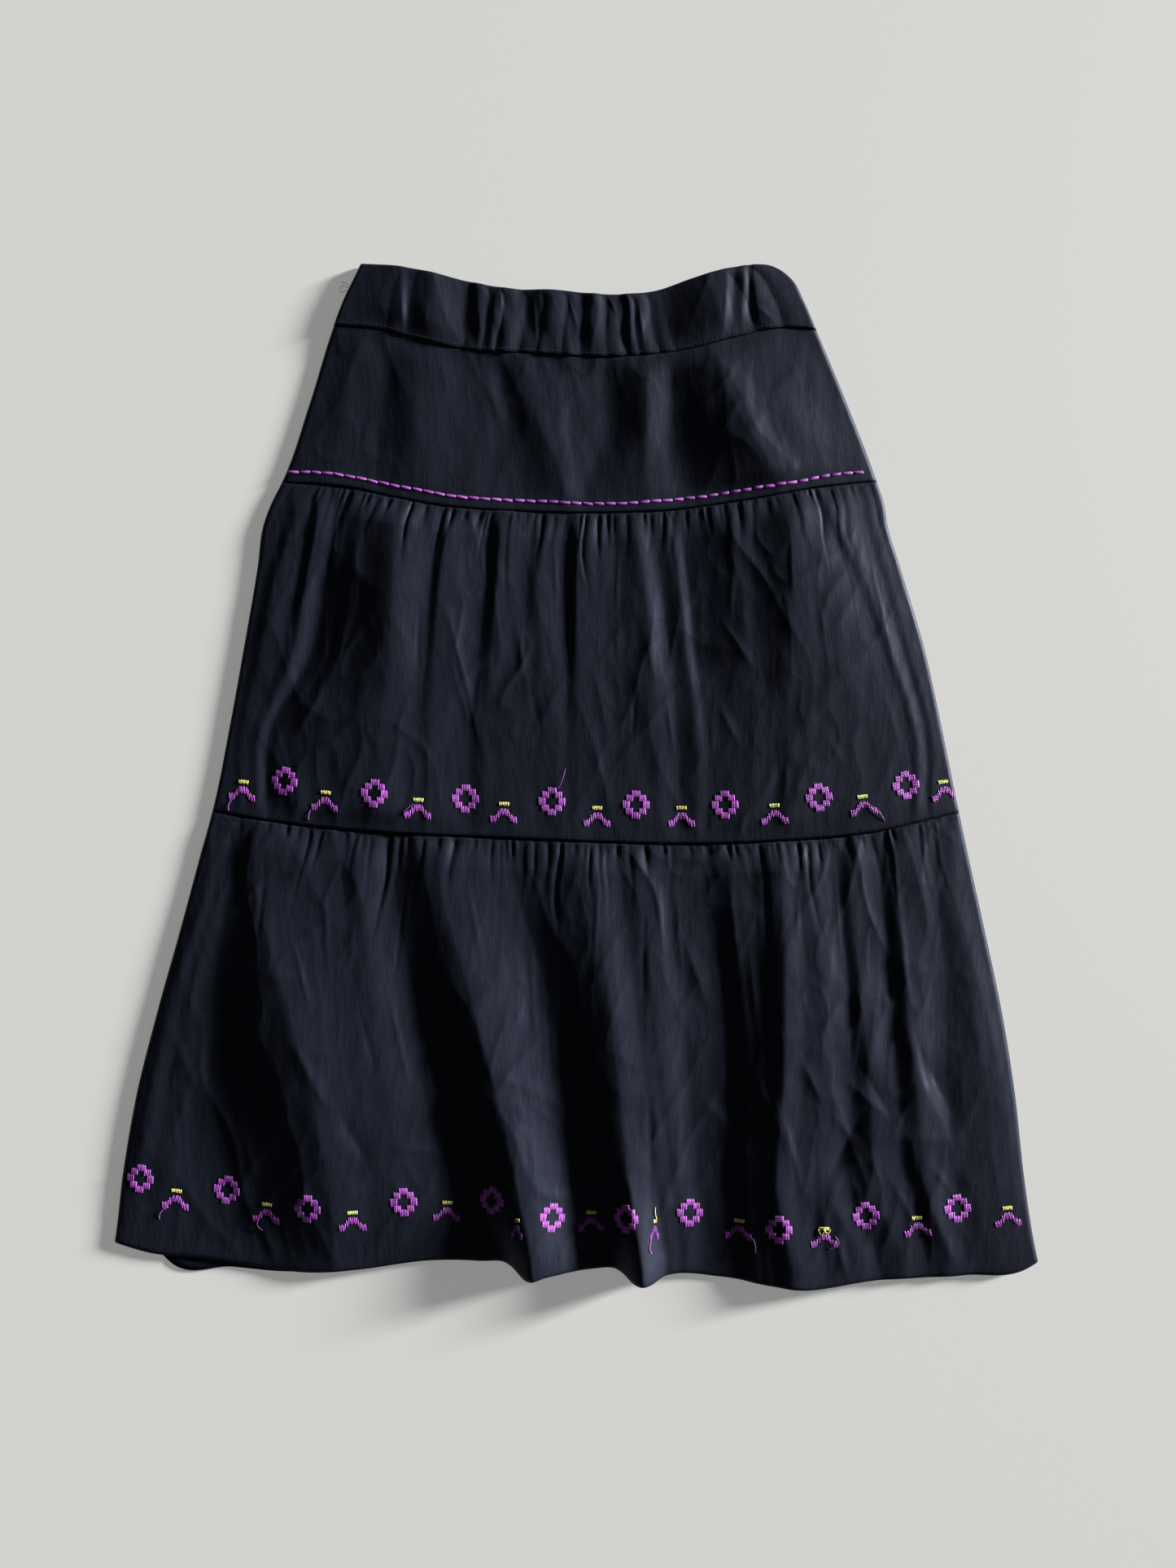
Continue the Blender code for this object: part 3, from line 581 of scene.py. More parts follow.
def waistband_relief(x, y, u, below, above):
    """The elastic's gathers and the folds, which are held flatter along the seam, with creases, crumples,
    and small uneven puckers that fade out on both sides of where the elastic pulls most."""
    leaning = np.clip(u + 0.006 * np.sin(below / 11 + 9 * u), 0, 1)
    sewn = 1 - SEWN_DOWN * bump(above / SEWN_RUN)
    relief = gather_height(casing_gathers, leaning, below, WIDE_START)
    relief += sewn * folded(WAIST_LEVELS, WAIST_FOLDS, x, y)
    drawn = PUCKER_HEIGHT * bump((x - PUCKER_MIDDLE) / PUCKER_REACH) ** 0.5
    bent = x + 2.5 * soft_noise(x, y, 13, 1.4, 51)
    relief += drawn * (soft_noise(bent, y, 5.5, 3.2, 52) + soft_noise(bent, y, 9, 2.4, 53))
    relief += sum(crease_height(crease, x, y) for crease in WAIST_CREASES)
    return relief + CASING_CRUMPLE * crumple(x, y, 5)


waist_panel = Panel(WAIST, WAIST_SEAM, CASING_CROWN, waistband_relief, CASING, tuck=0.4)
waistband_front = laid_front("waistband_front_cloth", waist_panel, 61, 361, ratio=1, tight_rows=1000)
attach(waistband_front, "root")
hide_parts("waistband_front")

# Yoke front
# A plain flared panel of the same cloth between the waistband and the first gathered seam, sewn to both.
# Broad soft folds run down it from the elastic, and its lower edge is pressed flat.
WALL = 1.2
HELD_DOWN = 0.8
HELD_RUN = 16
PRESSED_RUN = 12
LEAST_CRUMPLE = 0.2
YOKE_CROWN = (Crown(0.0, 5.1, 4.4), Crown(0.2, 5.2, 3.2), Crown(0.6, 5.2, 2.8), Crown(1.0, 4.9, 2.9))
YOKE_LEVELS = (255.0, 215.0, 175.0)
YOKE_FOLDS = (
    Fold((-138, -144, -154), (0.8, 1.0, 0.5)),
    Fold((-120, -121, -124), (-0.6, -1.0, -0.4)),
    Fold((-99, -98, -100), (1.4, 1.9, 0.9)),
    Fold((-60, -62, -64), (-0.6, -0.7, -0.3)),
    Fold((-47, -41, -36), (-1.4, -1.3, -1.0)),
    Fold((-34, -22, -7), (0.6, 1.0, 0.7)),
    Fold((18, 19, 6), (-2.0, -2.6, -1.4)),
    Fold((43, 43, 41), (1.3, 1.7, 0.9)),
    Fold((58, 60, 63), (-0.7, -1.5, -1.5)),
    Fold((85, 103, 125), (3.6, 6.0, 5.2)),
    Fold((108, 126, 146), (2.0, 3.6, 2.6)),
)
YOKE_CREASES = (
    Crease(-139, 250, -150, 190, 9, 0.30),
    Crease(-112, 264, -106, 215, 6, 0.25),
    Crease(-60, 262, -44, 205, 5, 0.30),
    Crease(-33, 258, -36, 236, 6, -0.45),
    Crease(-12, 250, -8, 175, 7, 0.25),
    Crease(10, 255, 18, 180, 7, 0.20),
    Crease(97, 255, 112, 205, 6, 0.30),
    Crease(118, 215, 128, 178, 6, 0.25),
    Crease(140, 235, 152, 185, 8, 0.20),
    Crease(128, 262, 141, 228, 7, 0.25),
)


def off_seam(distance):
    """Share of the folds' height at a distance from a seam."""
    return 1 - HELD_DOWN * bump(distance / HELD_RUN)


def lying(folds, creases, seed, x, y, above):
    """Listed folds and creases, with small crumples that are pressed out along the panel's lower edge."""
    relief = folds + sum(crease_height(crease, x, y) for crease in creases)
    return relief + np.clip(above / PRESSED_RUN, LEAST_CRUMPLE, 1) * crumple(x, y, seed)


def yoke_relief(x, y, u, below, above):
    """The yoke's folds and creases, flattened at both seams."""
    folds = off_seam(below) * off_seam(above) * folded(YOKE_LEVELS, YOKE_FOLDS, x, y)
    return lying(folds, YOKE_CREASES, 11, x, y, above)


yoke_panel = Panel(WAIST_SEAM, YOKE_SEAM, YOKE_CROWN, yoke_relief, WALL, tuck=0.3)
yoke_front = laid_front("yoke_front_cloth", yoke_panel, 81, 241, ratio=1, tight_rows=0)
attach(yoke_front, "root")
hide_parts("yoke_front")

# Middle tier front
# A strip of the same cloth, wider than the seam it is gathered into. The gathers stand in uneven folds of
# different lengths, and a few of them run most of the way down as long troughs and ridges.
UNEVEN_WIDTH = 0.7
MEAN_LEAN = 0.7
UNEVEN_LEAN = 0.25
WANDER = 0.004
WANDER_RUN = 30
NARROW_START = 2.0
MIDDLE_CROWN = (Crown(0.0, 4.3, 2.8), Crown(0.08, 6.2, 3.0), Crown(0.5, 6.4, 2.9), Crown(1.0, 4.9, 2.9))
MIDDLE_LEVELS = (160.0, 125.0, 75.0, 20.0)
MIDDLE_FOLDS = (
    Fold((-179, -191, -201, -211), (-0.3, -0.6, -0.5, -0.3)),
    Fold((-173, -184, -194, -206), (0.6, 1.1, 0.9, 0.4)),
    Fold((-163, -169, -181, -201), (-1.0, -1.4, -0.8, 0.0)),
    Fold((-159, -165, -174, -196), (0.2, 0.1, 0.0, 0.2)),
    Fold((-148, -153, -164, -190), (-1.6, -2.4, -2.6, -1.6)),
    Fold((-142, -146, -153, -182), (-0.6, -0.8, -0.8, -0.4)),
    Fold((-131, -135, -144, -170), (1.0, 1.4, 1.0, 0.8)),
    Fold((-112, -112, -114, -122), (3.6, 5.6, 5.6, 3.2)),
    Fold((-83, -88, -92, -96), (0.6, 1.8, 2.2, 1.2)),
    Fold((-78, -83, -87, -91), (1.9, 2.9, 2.7, 1.3)),
    Fold((-53, -55, -60, -66), (-1.2, -0.8, -0.2, -0.4)),
    Fold((-46, -48, -52, -56), (1.0, 1.2, 1.0, 0.4)),
    Fold((-27, -30, -31, -26), (-0.7, -0.6, 0.0, 0.0)),
    Fold((-22, -24, -20, -13), (0.2, 0.3, 0.5, 0.4)),
    Fold((-5, -6, -6, -6), (-1.2, -1.3, -0.6, 0.0)),
    Fold((1, 0, 0, 0), (0.9, 0.9, 0.6, 0.2)),
    Fold((22, 25, 28, 26), (-0.9, -0.9, -0.4, -0.2)),
    Fold((35, 40, 46, 50), (0.2, 0.4, 0.5, 0.4)),
    Fold((47, 51, 57, 63), (-1.8, -1.9, -1.4, -0.6)),
    Fold((57, 62, 67, 74), (-0.9, -0.8, -0.3, 0.3)),
    Fold((64, 68, 73, 81), (-2.0, -2.0, -1.5, -0.3)),
    Fold((96, 100, 106, 112), (1.2, 1.8, 1.8, 1.0)),
    Fold((101, 106, 112, 119), (1.4, 1.9, 1.9, 1.0)),
    Fold((132, 133, 132, 130), (4.6, 5.4, 4.3, 1.8)),
    Fold((147, 153, 160, 160), (2.9, 3.6, 2.6, 0.8)),
    Fold((153, 169, 188, 204), (2.4, 1.9, 0.9, -0.2)),
    Fold((158, 174, 193, 209), (2.7, 2.3, 1.5, 0.7)),
    Fold((177, 187, 201, 215), (1.0, 0.8, 0.2, -0.4)),
    Fold((181, 191, 205, 219), (1.2, 1.1, 0.9, 0.6)),
)
MIDDLE_CREASES = (
    Crease(-181, 168, -184, 120, 4, -0.45),
    Crease(-146, 172, -150, 120, 4, 0.45),
    Crease(-120, 100, -146, 72, 4, 0.45),
    Crease(-150, 60, -176, 20, 5, 0.45),
    Crease(-98, 60, -114, 15, 6, 0.40),
    Crease(-96, 110, -98, 50, 3, -0.40),
    Crease(-80, 80, -62, 20, 6, 0.30),
    Crease(-66, 120, -78, 60, 5, 0.35),
    Crease(-40, 110, -26, 30, 5, 0.35),
    Crease(-30, 60, -20, 20, 5, -0.30),
    Crease(-14, 150, -12, 100, 3, 0.35),
    Crease(8, 80, 22, 10, 6, 0.40),
    Crease(26, 150, 24, 90, 3, 0.35),
    Crease(36, 60, 34, 10, 4, -0.40),
    Crease(54, 60, 60, 5, 4, 0.45),
    Crease(86, 100, 112, 60, 5, 0.50),
    Crease(84, 50, 104, 10, 6, 0.45),
    Crease(96, 140, 94, 90, 4, 0.35),
    Crease(120, 60, 118, 10, 6, 0.30),
    Crease(130, 160, 132, 100, 3, 0.40),
    Crease(146, 120, 156, 50, 5, 0.35),
    Crease(176, 150, 196, 60, 3, 0.45),
    Crease(186, 60, 200, 10, 6, 0.35),
    Crease(150, 30, 168, 0, 6, 0.25),
)


def mostly_small(rng, count):
    """Random shares between a fifth and the whole, small ones more often than large."""
    return 0.2 + 0.8 * rng.uniform(0, 1, count) ** 2


def uneven_gathers(count, seed, rise, fall, shortest, longest):
    """Gathers of uneven width, height, lean and length, from one side edge to the other."""
    rng = np.random.default_rng(seed)
    widths = 1 + UNEVEN_WIDTH * rng.uniform(-1, 1, count)
    valleys = np.concatenate([[0], np.cumsum(widths)]) / widths.sum()
    depths = fall * mostly_small(rng, count + 1)
    crests = rise * mostly_small(rng, count)
    lengths = shortest + (longest - shortest) * rng.uniform(0, 1, count + 1) ** 3
    leans = MEAN_LEAN + UNEVEN_LEAN * rng.uniform(-1, 1, count)
    return Gathers(valleys, depths, crests, leans, lengths)


def gathered(wide, narrow, u, below):
    """Wide gathers with narrow ones among them, wandering a little from side to side on their way down."""
    wander = WANDER * np.sin(below / 17 + 40 * u) * (1 - bump(below / WANDER_RUN))
    across = np.clip(u + wander, 0, 1)
    wide_height = gather_height(wide, across, below, WIDE_START)
    return wide_height + gather_height(narrow, across, below, NARROW_START)


middle_wide = uneven_gathers(54, seed=3, rise=0.35, fall=1.5, shortest=12, longest=90)
middle_narrow = uneven_gathers(97, seed=14, rise=0.2, fall=0.5, shortest=5, longest=22)


def middle_relief(x, y, u, below, above):
    """The middle tier's gathers, its folds, flattened at both seams, and its creases."""
    folds = off_seam(below) * off_seam(above) * folded(MIDDLE_LEVELS, MIDDLE_FOLDS, x, y)
    return gathered(middle_wide, middle_narrow, u, below) + lying(folds, MIDDLE_CREASES, 21, x, y, above)


middle_panel = Panel(YOKE_SEAM, TIER_SEAM, MIDDLE_CROWN, middle_relief, WALL, tuck=0.7)
middle_tier_front = laid_front("middle_tier_front_cloth", middle_panel, 151, 441, ratio=2.2, tight_rows=30)
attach(middle_tier_front, "root")
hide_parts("middle_tier_front")

# Bottom tier front
# The widest strip, gathered again into the tier seam. Its gathers run together into long folds, two of them
# high at the hem, which is turned up and pressed.
HEM = (
    Point(-284.2, -286.5),
    Point(-262.0, -293.0),
    Point(-232.0, -296.0),
    Point(-192.0, -302.0),
    Point(-172.0, -304.2),
    Point(-132.0, -302.5),
    Point(-92.0, -297.5),
    Point(-60.0, -298.0),
    Point(-40.0, -300.0),
    Point(-31.0, -306.5),
    Point(-18.0, -304.5),
    Point(9.0, -302.5),
    Point(28.0, -304.0),
    Point(35.0, -309.0),
    Point(45.0, -309.5),
    Point(53.0, -306.5),
    Point(88.0, -307.5),
    Point(118.0, -312.0),
    Point(142.0, -314.35),
    Point(178.0, -310.0),
    Point(238.0, -306.5),
    Point(276.0, -303.0),
    Point(284.0, -298.5),
)
BOTTOM_CROWN = (
    Crown(0.0, 4.2, 2.8),
    Crown(0.07, 6.2, 3.0),
    Crown(0.5, 7.0, 3.0),
    Crown(0.85, 5.8, 2.9),
    Crown(1.0, 3.6, 2.8),
)
BOTTOM_LEVELS = (-60.0, -125.0, -190.0, -250.0, -305.0)
BOTTOM_FOLDS = (
    Fold((-226, -246, -261, -273, -280), (0.8, 1.2, 1.4, 1.0, 0.5)),
    Fold((-220, -237, -250, -261, -268), (-0.4, -0.8, -1.0, -0.8, -0.5)),
    Fold((-212, -221, -225, -217, -202), (-1.4, -2.6, -3.0, -2.7, -1.3)),
    Fold((-196, -181, -162, -151, -148), (1.2, 5.2, 8.4, 6.4, 2.6)),
    Fold((-143, -138, -132, -124, -118), (-0.4, 2.2, 4.6, 3.0, 0.6)),
    Fold((-134, -127, -120, -112, -108), (0.6, 2.0, 3.6, 2.4, 0.8)),
    Fold((-112, -101, -85, -70, -48), (-1.6, -2.0, -2.2, -2.2, -2.4)),
    Fold((-84, -67, -50, -36, -27), (2.4, 5.2, 6.8, 8.8, 13.5)),
    Fold((-38, -20, -6, 4, 20), (-1.4, -2.4, -2.8, -3.2, -2.2)),
    Fold((10, 18, 26, 32, 40), (2.2, 4.6, 6.0, 8.0, 13.5)),
    Fold((27, 36, 44, 50, 56), (0.2, 1.4, 2.8, 3.2, 2.0)),
    Fold((36, 45, 52, 60, 66), (0.8, 1.5, 2.0, 1.6, 0.6)),
    Fold((56, 66, 70, 76, 84), (-0.9, -1.2, -1.4, -1.6, -1.6)),
    Fold((78, 90, 92, 92, 98), (-0.9, -1.6, -2.0, -1.8, -0.8)),
    Fold((96, 102, 108, 106, 112), (0.9, 1.2, 1.8, 1.8, 2.8)),
    Fold((106, 112, 115, 112, 119), (0.9, 2.2, 3.0, 3.0, 4.0)),
    Fold((125, 127, 126, 122, 132), (3.4, 5.6, 5.8, 5.4, 6.4)),
    Fold((135, 141, 139, 137, 156), (1.9, 3.4, 3.8, 3.4, 3.2)),
    Fold((142, 149, 150, 152, 172), (2.0, 3.4, 3.4, 2.8, 2.2)),
    Fold((159, 166, 168, 167, 186), (-0.2, 0.6, 1.0, 1.0, 0.6)),
    Fold((167, 173, 179, 183, 200), (0.9, 1.8, 2.4, 2.0, 1.2)),
    Fold((188, 192, 197, 202, 216), (-0.6, -0.6, 0.0, 0.2, 0.0)),
    Fold((195, 200, 208, 214, 228), (0.6, 1.2, 1.7, 1.4, 0.8)),
    Fold((220, 226, 227, 233, 244), (-0.6, -1.3, -1.0, -0.7, -0.3)),
    Fold((231, 246, 261, 268, 272), (0.8, 1.9, 2.0, 1.2, 0.6)),
)
BOTTOM_CREASES = (
    Crease(-238, -60, -262, -160, 5, 0.45),
    Crease(-262, -180, -268, -270, 8, 0.35),
    Crease(-244, -170, -236, -280, 9, 0.30),
    Crease(-190, -50, -196, -110, 4, -0.50),
    Crease(-176, -90, -160, -150, 3, 0.50),
    Crease(-212, -200, -190, -262, 6, 0.35),
    Crease(-154, -60, -152, -130, 4, 0.40),
    Crease(-142, -45, -160, -90, 4, 0.35),
    Crease(-136, -130, -120, -190, 4, -0.40),
    Crease(-118, -120, -100, -200, 4, 0.50),
    Crease(-104, -60, -112, -130, 3, -0.50),
    Crease(-96, -150, -84, -225, 5, 0.40),
    Crease(-128, -225, -70, -232, 5, 0.35),
    Crease(-135, -240, -80, -222, 5, 0.30),
    Crease(-150, -280, -92, -262, 6, 0.25),
    Crease(-68, -60, -56, -120, 4, 0.40),
    Crease(-30, -80, -24, -180, 5, 0.40),
    Crease(-20, -120, -14, -200, 4, -0.30),
    Crease(-30, -200, -8, -215, 5, 0.25),
    Crease(14, -50, 10, -130, 3, 0.45),
    Crease(42, -60, 40, -160, 3, -0.40),
    Crease(50, -50, 54, -130, 4, 0.45),
    Crease(44, -180, 46, -280, 4, -0.35),
    Crease(60, -60, 66, -140, 4, 0.35),
    Crease(92, -50, 100, -130, 4, 0.45),
    Crease(104, -90, 112, -170, 4, 0.40),
    Crease(116, -50, 118, -130, 3, -0.50),
    Crease(122, -190, 112, -260, 4, 0.50),
    Crease(124, -200, 140, -262, 4, 0.50),
    Crease(136, -60, 134, -110, 3, 0.40),
    Crease(158, -48, 162, -120, 4, 0.45),
    Crease(158, -180, 196, -214, 5, 0.50),
    Crease(150, -200, 182, -236, 5, 0.40),
    Crease(186, -120, 176, -190, 5, 0.45),
    Crease(196, -60, 204, -150, 4, 0.40),
    Crease(206, -150, 220, -210, 4, -0.45),
    Crease(210, -230, 236, -262, 5, 0.35),
    Crease(240, -120, 252, -200, 6, 0.35),
    Crease(250, -200, 262, -280, 6, 0.30),
    Crease(150, -250, 176, -296, 7, 0.25),
    Crease(148, -256, 182, -194, 15, -1.5),
    Crease(166, -166, 198, -216, 13, -1.3),
    Crease(206, -160, 235, -216, 15, -1.4),
    Crease(134, -166, 153, -206, 9, 1.0),
    Crease(186, -236, 214, -286, 14, 1.2),
    Crease(-178, -150, -146, -214, 9, 0.9),
    Crease(-150, -196, -122, -246, 10, -0.9),
    Crease(-252, -150, -226, -206, 12, 0.9),
    Crease(62, -90, 84, -150, 10, 0.8),
    Crease(70, -190, 104, -226, 12, 0.7),
)
bottom_wide = uneven_gathers(64, seed=8, rise=0.35, fall=1.5, shortest=12, longest=90)
bottom_narrow = uneven_gathers(113, seed=19, rise=0.2, fall=0.5, shortest=5, longest=22)


def bottom_relief(x, y, u, below, above):
    """The bottom tier's gathers, its folds, flattened at the seam, and its creases."""
    folds = off_seam(below) * folded(BOTTOM_LEVELS, BOTTOM_FOLDS, x, y)
    return gathered(bottom_wide, bottom_narrow, u, below) + lying(folds, BOTTOM_CREASES, 33, x, y, above)


bottom_panel = Panel(TIER_SEAM, HEM, BOTTOM_CROWN, bottom_relief, WALL, tuck=0.7)
bottom_tier_front = laid_front("bottom_tier_front_cloth", bottom_panel, 165, 469, ratio=2.2, tight_rows=30)
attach(bottom_tier_front, "root")
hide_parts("bottom_tier_front")

# Waistband topstitching
# A row of machine stitches in navy thread, just above the seam that joins the casing to the yoke, front and
# back. Each stitch is a thin tube that narrows at its ends, pulled down into the cloth.
Station = namedtuple("Station", "share width")
TOPSTITCH_RISE = 1.7
TOPSTITCH_PITCH = 2.6
TOPSTITCH_LENGTH = 1.9
TOPSTITCH_WIDTH = 0.55
TOPSTITCH_HEIGHT = 0.3
TOPSTITCH_SUNK = 0.12
SUNK = 0.1
NAVY_THREAD_DEEP = (0.0006, 0.0007, 0.0012, 1)
NAVY_THREAD_BRIGHT = (0.0018, 0.0021, 0.0036, 1)
THREAD_SHAPE = (
    Station(0.0, 0.6),
    Station(0.06, 0.92),
    Station(0.5, 1.0),
    Station(0.94, 0.92),
    Station(1.0, 0.6),
)
RING = 6
SHARE_STEPS = 6
ROUTE_STEP = 0.25


def shares(top, bottom, x, y):
    """The shares u and v of the places (x, y) on a panel, found in a few steps."""
    u, v = np.full(x.shape, 0.5), np.full(x.shape, 0.5)
    for _ in range(SHARE_STEPS):
        left, right = panel_sides(top, bottom, v)
        u = np.clip((x - left) / (right - left), 0, 1)
        top_y, bottom_y = seam_heights(top, bottom, u)
        v = np.clip((top_y - y) / (top_y - bottom_y), 0, 1)
    return u, v


def sewn_front(panel, places, lift):
    """Points of stitches at their places on a front panel, raised from its face by the lift."""
    u, v = shares(panel.top, panel.bottom, places[..., 0], places[..., 1])
    height = front_face(panel, u, v)[..., 2]
    return np.concatenate([places, (height + lift)[..., None]], axis=-1)


def sewn_back(back, places, lift):
    """Points of stitches at their places on a back panel, standing out below its underside by the lift."""
    u, v = shares(back.top, back.bottom, places[..., 0], places[..., 1])
    height = back_face(back, u, v)[..., 2]
    return np.concatenate([places, (height - lift)[..., None]], axis=-1)


def crosswise(run):
    """Unit vectors square to each run."""
    return np.stack([-run[:, 1], run[:, 0]], axis=-1) / np.linalg.norm(run, axis=-1, keepdims=True)


def stitch_rings(starts, ends, width):
    """Places of the rings of points round each stitch, and how far up the thread each lies. A stitch runs
    straight from its start to its end and narrows there, and its ring is an ellipse of the given width."""
    stations = np.array(THREAD_SHAPE)
    turn = 2 * np.pi * np.arange(RING) / RING
    run = ends - starts
    across = crosswise(run)
    middle = starts[:, None] + stations[:, 0, None] * run[:, None]
    wide = 0.5 * width * stations[:, 1, None] * np.cos(turn)
    places = middle[:, :, None] + wide[None, :, :, None] * across[:, None, None]
    lift = stations[:, 1, None] * (0.5 + 0.5 * np.sin(turn))
    return places, np.broadcast_to(lift, places.shape[:-1])


def thread_object(name, points, material):
    """One object from the rings of many stitches: a closed tube for each, with a tone of its own."""
    count, stations = points.shape[:2]
    index = np.arange(count * stations * RING).reshape(count, stations, RING)
    around = np.roll(index, -1, axis=2)
    walls = np.stack([index[:, :-1], around[:, :-1], around[:, 1:], index[:, 1:]], axis=-1)
    caps = np.concatenate([index[:, 0, ::-1], index[:, -1]])
    faces = walls.reshape(-1, 4).tolist() + caps.tolist()
    made = smooth_object(name, points.reshape(-1, 3), faces, material)
    tones = np.repeat(np.random.default_rng(count).uniform(0, 1, count), stations * RING)
    made.data.attributes.new("tone", "FLOAT", "POINT").data.foreach_set("value", tones)
    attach(made, "root")
    return made


def thread(name, deep, bright, roughness, gloss):
    """Twisted yarn: each stitch has a tone of its own between two colours, with a fine ply as a bump."""
    material = bpy.data.materials.new(name)
    material.use_nodes = True
    links = material.node_tree.links
    shader = material.node_tree.nodes["Principled BSDF"]
    shader.inputs["Roughness"].default_value = roughness
    shader.inputs["Sheen Weight"].default_value = 0.1
    shader.inputs["Specular IOR Level"].default_value = gloss
    tone = material.node_tree.nodes.new("ShaderNodeAttribute")
    tone.attribute_name = "tone"
    colour = material.node_tree.nodes.new("ShaderNodeMix")
    colour.data_type = "RGBA"
    colour.inputs["A"].default_value = deep
    colour.inputs["B"].default_value = bright
    links.new(tone.outputs["Fac"], colour.inputs["Factor"])
    links.new(colour.outputs["Result"], shader.inputs["Base Color"])
    place = material.node_tree.nodes.new("ShaderNodeTexCoord")
    ply = new_node(material, "ShaderNodeTexWave", Scale=520, Distortion=1.5)
    ply.bands_direction = "DIAGONAL"
    links.new(place.outputs["Object"], ply.inputs["Vector"])
    twisted = raised(material, ply.outputs["Fac"], distance=0.0002, strength=0.6)
    links.new(twisted, shader.inputs["Normal"])
    return material


def along_seam(seam, offset, pitch, length, inset):
    """Starts and ends of stitches of one length at one pitch, at a distance above a seam."""
    left, right = seam_ends(seam)
    x = np.arange(left + inset, right - inset, ROUTE_STEP)
    y = through(seam, x) + offset
    run = np.concatenate([[0], np.cumsum(np.hypot(np.diff(x), np.diff(y)))])
    first = np.arange(0, run[-1] - length, pitch)
    last = first + length
    starts = np.stack([np.interp(first, run, x), np.interp(first, run, y)], axis=-1)
    ends = np.stack([np.interp(last, run, x), np.interp(last, run, y)], axis=-1)
    return starts, ends


navy_thread = thread("navy thread", NAVY_THREAD_DEEP, NAVY_THREAD_BRIGHT, roughness=0.8, gloss=0.05)
starts, ends = along_seam(WAIST_SEAM, TOPSTITCH_RISE, TOPSTITCH_PITCH, TOPSTITCH_LENGTH, inset=2.5)
places, lift = stitch_rings(starts, ends, TOPSTITCH_WIDTH)
front_points = sewn_front(waist_panel, places, TOPSTITCH_HEIGHT * lift - TOPSTITCH_SUNK)
back_points = sewn_back(waistband_back, places, TOPSTITCH_HEIGHT * lift - SUNK)
topstitches = (
    thread_object("waistband_topstitch_front", front_points, navy_thread),
    thread_object("waistband_topstitch_back", back_points, navy_thread),
)

# Running stitch
# A hand-sewn line of thick purple thread along the yoke, a little above its lower seam, front and back. The
# stitches are long, and the gaps between them short.
RUNNING_PITCH = 7.0
RUNNING_LENGTH = 6.3
RUNNING_WIDTH = 1.8
RUNNING_HEIGHT = 0.6
RUNNING_SUNK = 0.15
RUNNING_HEIGHT_BEHIND = 0.4
HAND_SHAKE = 0.25
PURPLE_DEEP = (0.22, 0.045, 0.30, 1)
PURPLE_BRIGHT = (0.42, 0.09, 0.52, 1)
RUNNING_LINE = (
    Point(-179.0, 187.0),
    Point(-147.0, 185.3),
    Point(-130.0, 182.0),
    Point(-113.0, 178.5),
    Point(-95.0, 175.0),
    Point(-72.5, 171.3),
    Point(-49.5, 169.8),
    Point(-15.0, 168.2),
    Point(16.0, 167.0),
    Point(53.0, 169.0),
    Point(82.0, 172.0),
    Point(110.6, 176.5),
    Point(139.0, 181.2),
    Point(156.0, 184.7),
    Point(176.0, 186.8),
    Point(182.5, 186.8),
)
purple = thread("purple thread", PURPLE_DEEP, PURPLE_BRIGHT, roughness=0.38, gloss=0.3)
starts, ends = along_seam(RUNNING_LINE, 0, RUNNING_PITCH, RUNNING_LENGTH, inset=1.5)
shake = np.random.default_rng(2).uniform(-HAND_SHAKE, HAND_SHAKE, (2,) + starts.shape)
places, lift = stitch_rings(starts + shake[0], ends + shake[1], RUNNING_WIDTH)
front_points = sewn_front(yoke_panel, places, RUNNING_HEIGHT * lift - RUNNING_SUNK)
back_points = sewn_back(yoke_back, places, RUNNING_HEIGHT_BEHIND * lift - SUNK)
running_stitches = (
    thread_object("running_stitch_front", front_points, purple),
    thread_object("running_stitch_back", back_points, purple),
)

# Satin-stitch borders
# Diamonds and chevrons in purple, each chevron under a small yellow bar, above the tier seam and above the
# hem, all round the skirt. Every block is a few upright satin stitches.
Stitch = namedtuple("Stitch", "x y length")
Block = namedtuple("Block", "x y length count")
Motif = namedtuple("Motif", "x y share", defaults=(1.0,))
Yarn = namedtuple("Yarn", "width lean material slot")
DIAMOND_BLOCKS = (
    Block(0.0, 6.7, 3.8, 5),
    Block(4.0, 4.1, 3.9, 4),
    Block(6.1, 0.0, 4.8, 4),
    Block(4.0, -4.0, 3.9, 4),
    Block(0.0, -6.6, 4.1, 5),
    Block(-4.0, -4.0, 3.9, 4),
    Block(-6.1, 0.0, 4.8, 4),
    Block(-4.0, 4.1, 3.9, 4),
)
CHEVRON_HALF = (
    Stitch(0.0, 2.7, 4.0),
    Stitch(1.1, 2.7, 4.1),
    Stitch(2.2, 2.3, 4.2),
    Stitch(3.4, 0.9, 4.3),
    Stitch(4.6, -0.8, 4.3),
    Stitch(5.7, -1.8, 4.1),
    Stitch(6.7, -2.0, 4.1),
    Stitch(7.7, -2.0, 4.1),
)
BAR_STITCHES = 6
BAR_LENGTH = 2.2
YELLOW_RISE = 7.6
STITCH_STEP = 1.03
STITCH_SHAKE = 0.12
SATIN_HEIGHT = 0.45
SATIN_HEIGHT_BEHIND = 0.35
TILT_SHARE = 0.8
MOTIF_REACH = 14
MOTIF_STEPS = 113
EDGE_CLEARANCE = 0.4
YELLOW_DEEP = (0.52, 0.52, 0.12, 1)
YELLOW_BRIGHT = (0.80, 0.80, 0.24, 1)
MIDDLE_DIAMONDS = (
    Motif(-224.4, 7.0),
    Motif(-179.3, -3.0),
    Motif(-123.8, -10.5),
    Motif(-68.3, -13.8),
    Motif(-15.3, -15.5),
    Motif(36.3, -17.5),
    Motif(90.8, -17.5),
    Motif(148.3, -13.0),
    Motif(201.8, -5.5),
)
